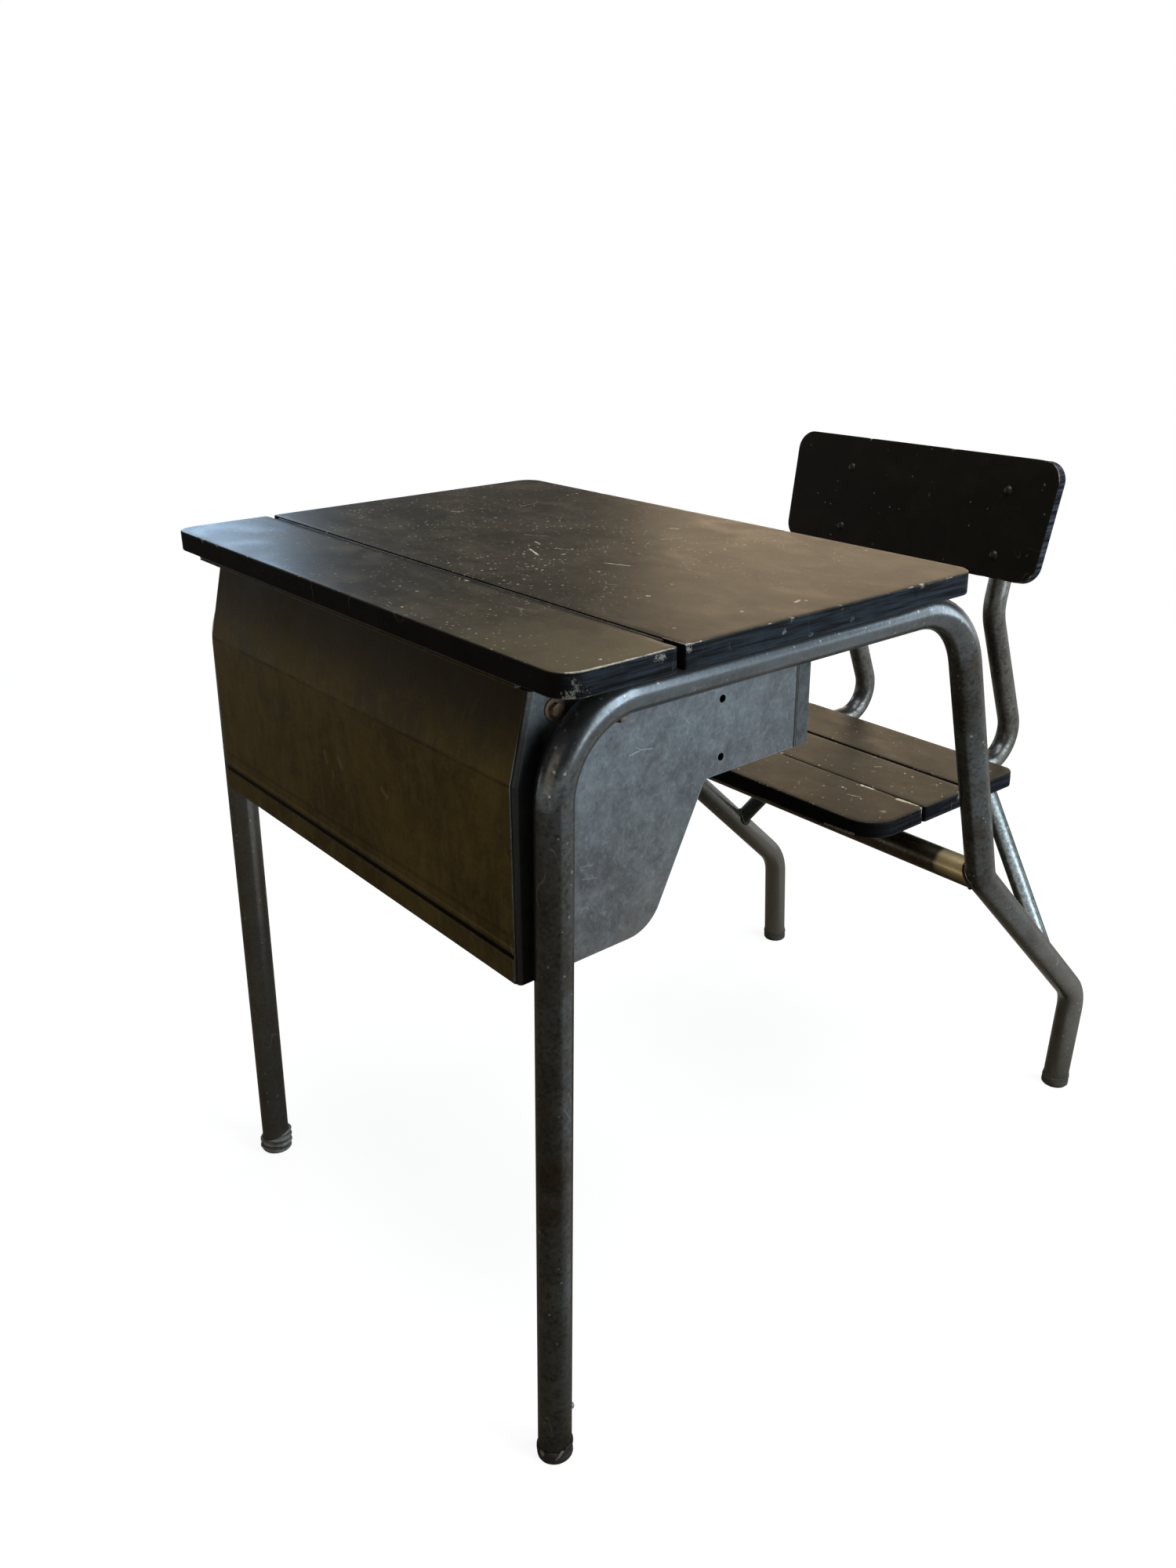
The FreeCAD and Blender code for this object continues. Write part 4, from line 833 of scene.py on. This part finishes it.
# chips are (place, reach, depth, wear added)
boards = {
    "wornStrip": {
        "node": "top_strip", "body": "desk", "finish": "top", "corners": rectangle(0, 100, 316),
        "radii": (20, 20, 2, 2), "levels": (710, 729), "seed": 5, "rub": 0.2, "crisp": 1,
        "chips": [
            ((-300, 100, 729), 6, 0.6, 1.3), ((-311, 100, 727), 4.4, 0.8, 0.9),
            ((315, 15, 729), 9, 0.6, 0.9), ((315, 27, 729), 8, 0.3, 1), ((316, 42, 729), 9, 0.2, 0.9),
            ((316, 60, 729), 9, 0.2, 0.8), ((316, 78, 728), 8, 0.3, 0.9), ((316, 90, 726.5), 6, 0.9, 1),
            ((313.5, 10, 724), 4.4, 0.3, 0.5), ((315, 14, 718), 4.4, 0.4, 0.5), ((313, 9, 712), 4.4, 0.8, 0.7),
            ((316, 21, 713), 4, 0.4, 0.42), ((309, 4.5, 712), 4, 0.8, 0.4), ((316, 86, 724), 4.4, 0.3, 0.75),
            ((316, 80, 726), 3, 0.3, 0.7), ((-250, 0, 729), 4, 0.8, 0.8), ((-215, 0, 729), 3, 0.6, 0.7),
            ((-150, 0, 729), 2, 0.5, 0.6), ((-316, 99, 729), 7, 0.9, 1), ((60, 100, 729), 4, 0.6, 0.8),
            ((210, 100, 729), 9, 0.3, 0.6), ((260, 100, 729), 12, 0.3, 0.7), ((300, 100, 729), 6, 0.6, 0.8)]},
    "wornLid": {
        "node": "lid_board", "body": "lid", "finish": "top", "corners": rectangle(107, 440, 316),
        "radii": (2, 2, 20, 20), "levels": (710, 729), "seed": 8, "rub": 0.14, "crisp": -1,
        "chips": [
            ((316, 110, 727), 4.4, 1, 0.6), ((316, 114, 724), 4.4, 0.4, 0.42), ((310, 107, 729), 6, 0.6, 1.2),
            ((296, 107, 729), 7, 0.3, 0.9), ((316, 122, 729), 6, 0.3, 0.5), ((316, 190, 729), 5, 0.5, 0.7),
            ((316, 214, 729), 4, 0.3, 0.6), ((316, 268, 729), 4, 0.3, 0.55), ((316, 352, 729), 5, 0.8, 0.85),
            ((316, 366, 729), 4, 0.7, 0.9), ((316, 402, 728), 5, 0.3, 0.6), ((316, 206, 719), 3, 0.8, 0.8),
            ((316, 282, 716), 4, 0.7, 0.6), ((316, 236, 711), 4, 0.8, 0.6), ((316, 150, 720), 3, 0.5, 0.5),
            ((-316, 109, 729), 6, 0.8, 1), ((-200, 107, 729), 3, 0.6, 0.7), ((40, 107, 729), 3, 0.6, 0.6),
            ((100, 440, 729), 4, 0.7, 0.7), ((-180, 440, 729), 4, 0.7, 0.6), ((-40, 440, 729), 6, 0.5, 0.5),
            ((308, 435, 729), 7, 0.4, 0.6)]},
    "wornSlatFront": {
        **slat(492, 575, (36, 36, 4, 4)), "node": "seat_slat_front", "seed": 12, "rub": 0.12,
        "chips": [
            ((188, 572, 429), 4, 1.2, 0.9), ((187, 574, 421), 4, 1.2, 0.9), ((-40, 492, 431), 3, 0.6, 0.5),
            ((-90, 492, 431), 3, 0.5, 0.5), ((150, 575, 431), 6, 0.4, 0.9), ((40, 492, 414), 14, 0.5, 0.7)]},
    "wornSlatMiddle": {
        **slat(576.2, 652.2, (4, 4, 4, 4)), "node": "seat_slat_middle", "seed": 15, "rub": 0.14,
        "chips": [((188, 638, 430), 4, 1, 0.9), ((188, 634, 425), 3, 0.8, 0.7), ((60, 652, 431), 3, 0.5, 0.7),
                  ((-20, 576.5, 431), 4, 0.3, 0.6)]},
    "wornSlatRear": {
        **slat(656.2, 738.2, (4, 4, 12, 12)), "node": "seat_slat_rear", "seed": 18, "rub": 0.16,
        "chips": [((186, 736, 430), 5, 0.8, 0.6), ((-120, 738, 431), 4, 0.5, 0.6)]},
    "wornBackrest": {
        "node": "backrest_board", "body": "desk", "finish": "back",
        "corners": [(-197, -24.5 * backLean), (166, -24.5 * backLean), (172, 106 * backLean),
                    (-203, 106 * backLean)],
        "radii": (22, 22, 22, 22), "levels": (-12, 0), "seed": 21, "rub": 0.1, "origin": (0, 764, 659),
        "axes": [(1, 0, 0), (0, backTilt / backLean, 1 / backLean), (0, -1 / backLean, backTilt / backLean)],
        "chips": [((x, 764 + backTilt * (z - 659), z), *chip) for x, z, *chip in (
            (166, 759, 9, 0.6, 1), (171, 750, 7, 0.5, 0.8), (150, 765, 7, 0.4, 0.75), (152, 635.5, 6, 0.7, 1),
            (163, 642, 5, 0.5, 0.8), (125, 634.5, 9, 0.4, 0.9), (105, 634.5, 5, 0.4, 0.7),
            (-90, 765, 3, 0.3, 0.6), (30, 765, 4, 0.3, 0.6))]},
}
for name, board in boards.items():
    wornBoard(name, board)


# weld beads

def tubeJoint(start, main, branch, mainRadius, branchRadius, count):
    # where a round branch meets a round tube: for each direction round the branch, the distance along it
    # at which it lies one tube radius from the tube's axis
    main, branch = unit(main), unit(branch)
    side = unit(np.cross(branch, main))
    other = np.cross(branch, side)
    turn = turnsOf(count)
    rim = side * np.cos(turn)[:, None] + other * np.sin(turn)[:, None]
    branchOff = branch - main * (main @ branch)
    rimOff = (rim - main * (rim @ main)[:, None]) * branchRadius
    a, b = branchOff @ branchOff, 2 * rimOff @ branchOff
    c = (rimOff ** 2).sum(axis=1) - mainRadius ** 2
    height = (-b + np.sqrt(np.maximum(b ** 2 - 4 * a * c, 0))) / (2 * a)
    return start + branch * height[:, None] + rim * branchRadius, rim


def weldBead(name, centre, rim, radius, seed, sides=12, scales=26):
    # a closed ring of round section along the joint, its radius swelling in short scales
    count = len(centre)
    along = unit(np.roll(centre, -1, axis=0) - np.roll(centre, 1, axis=0))
    across = unit(np.cross(along, rim))
    lift = unit(np.cross(across, along))
    swell = np.abs(np.sin(np.arange(count) * np.pi * scales / count))
    size = radius * (0.82 + 0.16 * swell + 0.2 * ripple(count, 20, seed))
    turn = turnsOf(sides)[:, None, None]
    points = centre + size[:, None] * (lift * np.cos(turn) + across * np.sin(turn))
    newPiece(name, points, gridFaces(sides, count, True), "weldBead", "desk")


beads = {
    "crossTube": {"start": (258.8, 584, 373), "main": (0.55, 170, -280), "branch": (-1, 0, 0), "radii": (15, 15),
                  "bead": 1.5},
    "stayFoot": {"start": (251, 746, 213), "main": (-10, 241, -238), "branch": (-140, 35, 187.6),
                 "radii": (15, 10.5), "bead": 2.1},
    "stayHead": {"start": (111, 781, 400.6), "main": (0, 1, 0), "branch": (140, -35, -187.6),
                 "radii": (12.5, 10.5), "bead": 1.9},
}
beadPoints = 132
railWeld = {"place": (111, 584, 387.6), "radius": 8.5, "bead": 2.6, "points": 72}
flips = {"Left": np.array([1.0, 1.0, 1.0]), "Right": np.array([-1.0, 1.0, 1.0])}
for label, bead in beads.items():
    for side, flip in flips.items():
        centre, rim = tubeJoint(bead["start"] * flip, bead["main"] * flip, bead["branch"] * flip, *bead["radii"],
                                beadPoints)
        weldBead(label + side, centre, rim, bead["bead"], 40 + int(flip[0]))
for side, flip in flips.items():
    rim = circle(turnsOf(railWeld["points"]), 0.0)
    weldBead("railWeld" + side, railWeld["place"] * flip + rim * railWeld["radius"], rim, railWeld["bead"],
             50 + int(flip[0]))
print("weld beads made")


# worn foot caps and the tape wrapped round one foot

# bore, the height of the inner floor, wall, the height of the outside's last row, the points round and the rows
cupCut = {"inner": 15.12, "floor": 5.0, "wall": 0.35, "foot": 1.4, "points": 120, "rows": 18}


def wornCup(name, cup):
    # rows from inside the cup up over its ragged rim, down the bulging outside and in to the floor's middle; the
    # folds are a sine of the turn and the height
    foot = np.array(cup["foot"], float)
    axis = unit(np.array(cup["above"], float) - foot)
    inner, count, seed = cupCut["inner"], cupCut["points"], cup["seed"]
    turn = turnsOf(count)
    ring = circle(turn, 0.0)
    rim = cup["height"] + cup["slant"] * np.cos(turn - cup["slantTurn"]) + cup["ragged"] * ripple(count, 24, seed)
    rows = [foot + ring * inner * 0.5 + axis * cupCut["floor"], foot + ring * inner + axis * cupCut["floor"],
            foot + ring * inner + axis * rim[:, None]]
    folds = [np.zeros(count), np.zeros(count), np.full(count, 0.6)]
    for share in np.linspace(0, 1, cupCut["rows"]):
        level = rim * (1 - share) + cupCut["foot"] * share
        # the outside swells below the rim and draws in again near the floor
        swell = 1 - (share - 0.61) * 0.9
        if share < 0.61:
            swell = math.sin(math.pi * min(1.0, share * 1.5 + 0.08)) ** 0.6
        band = np.clip(np.sin(turn * cup["turns"][0] + level * cup["turns"][1] + seed), -0.3, 1.0)
        noise = ripple(count, 18, seed + int(share * 17))
        size = inner + cupCut["wall"] + cup["bulge"] * swell + cup["fold"] * band * swell + 0.25 * noise * swell
        rows.append(foot + ring * size[:, None] + axis * level[:, None])
        folds.append(np.clip(band, 0, 1) * cup["pale"])
    last = rows[-1]
    for share in (0.93, 0.6, 0.3):
        rows.append(np.column_stack([foot[:2] + (last[:, :2] - foot[:2]) * share, np.zeros(count)]))
        folds.append(np.zeros(count))
    points = np.stack(rows)
    points[..., 2] = np.maximum(points[..., 2], 0.0)
    newPiece(name, points, [face[::-1] for face in cappedFaces(len(rows), count)], cup["finish"], "desk",
             [cup["node"]], {"fold": np.stack(folds)})


rearCap = {"height": 13.5, "slant": 1, "ragged": 0.8, "fold": 0.2, "turns": (2, 0.4), "pale": 0.3,
           "finish": "greyRubber"}
cups = {
    "capFrontLeft": {"node": "foot_front_left", "foot": (272.5, 6.3, 0), "above": (272.5, 24.8, 687),
                     "height": 13, "slant": 4, "slantTurn": 0.5, "ragged": 2.2, "bulge": 0.5, "fold": 0.3,
                     "turns": (3, 0.5), "pale": 0.35, "seed": 61, "finish": "rubber"},
    "tapeFrontRight": {"node": "foot_front_right", "foot": (-272.5, 6.3, 0), "above": (-272.5, 24.8, 687),
                       "height": 20, "slant": 5, "slantTurn": 0.9, "ragged": 0.6, "bulge": 2.1, "fold": 1.4,
                       "turns": (2, 0.85), "pale": 1, "seed": 62, "finish": "greyTape"},
    "capRearLeft": {**rearCap, "node": "foot_rear_left", "foot": (242.5, 825, 0), "above": (248.4, 825, 135),
                    "slantTurn": 0, "bulge": 0.5, "seed": 63},
    "capRearRight": {**rearCap, "node": "foot_rear_right", "foot": (-242.5, 825, 0), "above": (-248.4, 825, 135),
                     "slantTurn": 2, "bulge": 0.4, "seed": 64},
}
for name, cup in cups.items():
    wornCup(name, cup)
print("foot caps made")


# floor and surroundings

white = (1, 1, 1)
# the floor's own colours, its glow, the distances over which it fades to white and the half of its width
paleFloor = {"shadow": (0.3, 0.3, 0.3), "glow": 0.86, "plain": (0.22, 0.18, 0.125), "fade": (1.4, 2.6),
             "mirrorFade": (2.0, 4.5), "half": 30}


def glowing(tree, kind, colour, strength):
    return put(tree, kind, {"Color": colour, "Strength": strength}).outputs[0]


def shownTo(tree, mirrored, plain, shown):
    # camera rays meet the white backdrop, and so does a share of the mirror and glass rays
    ways = put(tree, "LightPath").outputs
    bent = times(strongest(ways["Is Glossy Ray"], ways["Is Transmission Ray"]), mirrored)
    seen = strongest(ways["Is Camera Ray"], bent)
    return put(tree, "MixShader", {0: seen, 1: plain, 2: shown}).outputs[0]


def addFloor():
    material, tree = newMaterial("paleFloor")[:2]
    source = put(tree, "TexCoord").outputs["Object"]
    x, y = split(source)[:2]
    far = put(tree, "VectorMath", {0: source}, operation="LENGTH").outputs["Value"]
    shadow = put(tree, "BsdfDiffuse", {"Color": paleFloor["shadow"]}).outputs[0]
    near = put(tree, "AddShader", {0: shadow, 1: glowing(tree, "Emission", white, paleFloor["glow"])}).outputs[0]
    shown = put(tree, "MixShader", {0: spread(far, *paleFloor["fade"]), 1: near,
                                    2: glowing(tree, "Emission", white, 1.0)}).outputs[0]
    plain = put(tree, "BsdfDiffuse", {"Color": paleFloor["plain"]}).outputs[0]
    # mirror rays meet the white backdrop from far away, and nearer in a painted pool of light on the floor beside
    # and behind the desk
    beside = times(spread(x, 0.26, 0.36), spread(y, -0.42, -0.2))
    close = times(strongest(beside, spread(y, 0.39, 0.46, 0.0, 0.3)), 0.45)
    mirrored = strongest(spread(far, *paleFloor["mirrorFade"]), close)
    feed(shownTo(tree, mirrored, plain, shown), tree.nodes["Material Output"].inputs["Surface"])
    mesh = bpy.data.meshes.new("floor")
    half = paleFloor["half"]
    mesh.from_pydata([(-half, -half, 0), (half, -half, 0), (half, half, 0), (-half, half, 0)], [], [(0, 1, 2, 3)])
    mesh.materials.append(material)
    floor = bpy.data.objects.new("floor", mesh)
    bpy.context.scene.collection.objects.link(floor)


def addSurroundings():
    surroundings = bpy.data.worlds.new("studio")
    bpy.context.scene.world = surroundings
    surroundings.use_nodes = True
    tree = surroundings.node_tree
    tree.nodes.clear()
    rise = split(put(tree, "TexCoord").outputs["Generated"])[2]
    dim = glowing(tree, "Background", (0.95, 0.97, 1.0), 0.1)
    mixed = shownTo(tree, spread(rise, 0.06, -0.02), dim, glowing(tree, "Background", white, 1.0))
    feed(mixed, put(tree, "OutputWorld").inputs["Surface"])


addCamera()
addLamps()
addFloor()
addSurroundings()
bpy.context.scene.view_settings.view_transform = "Standard"
print("camera, lamps and floor placed")
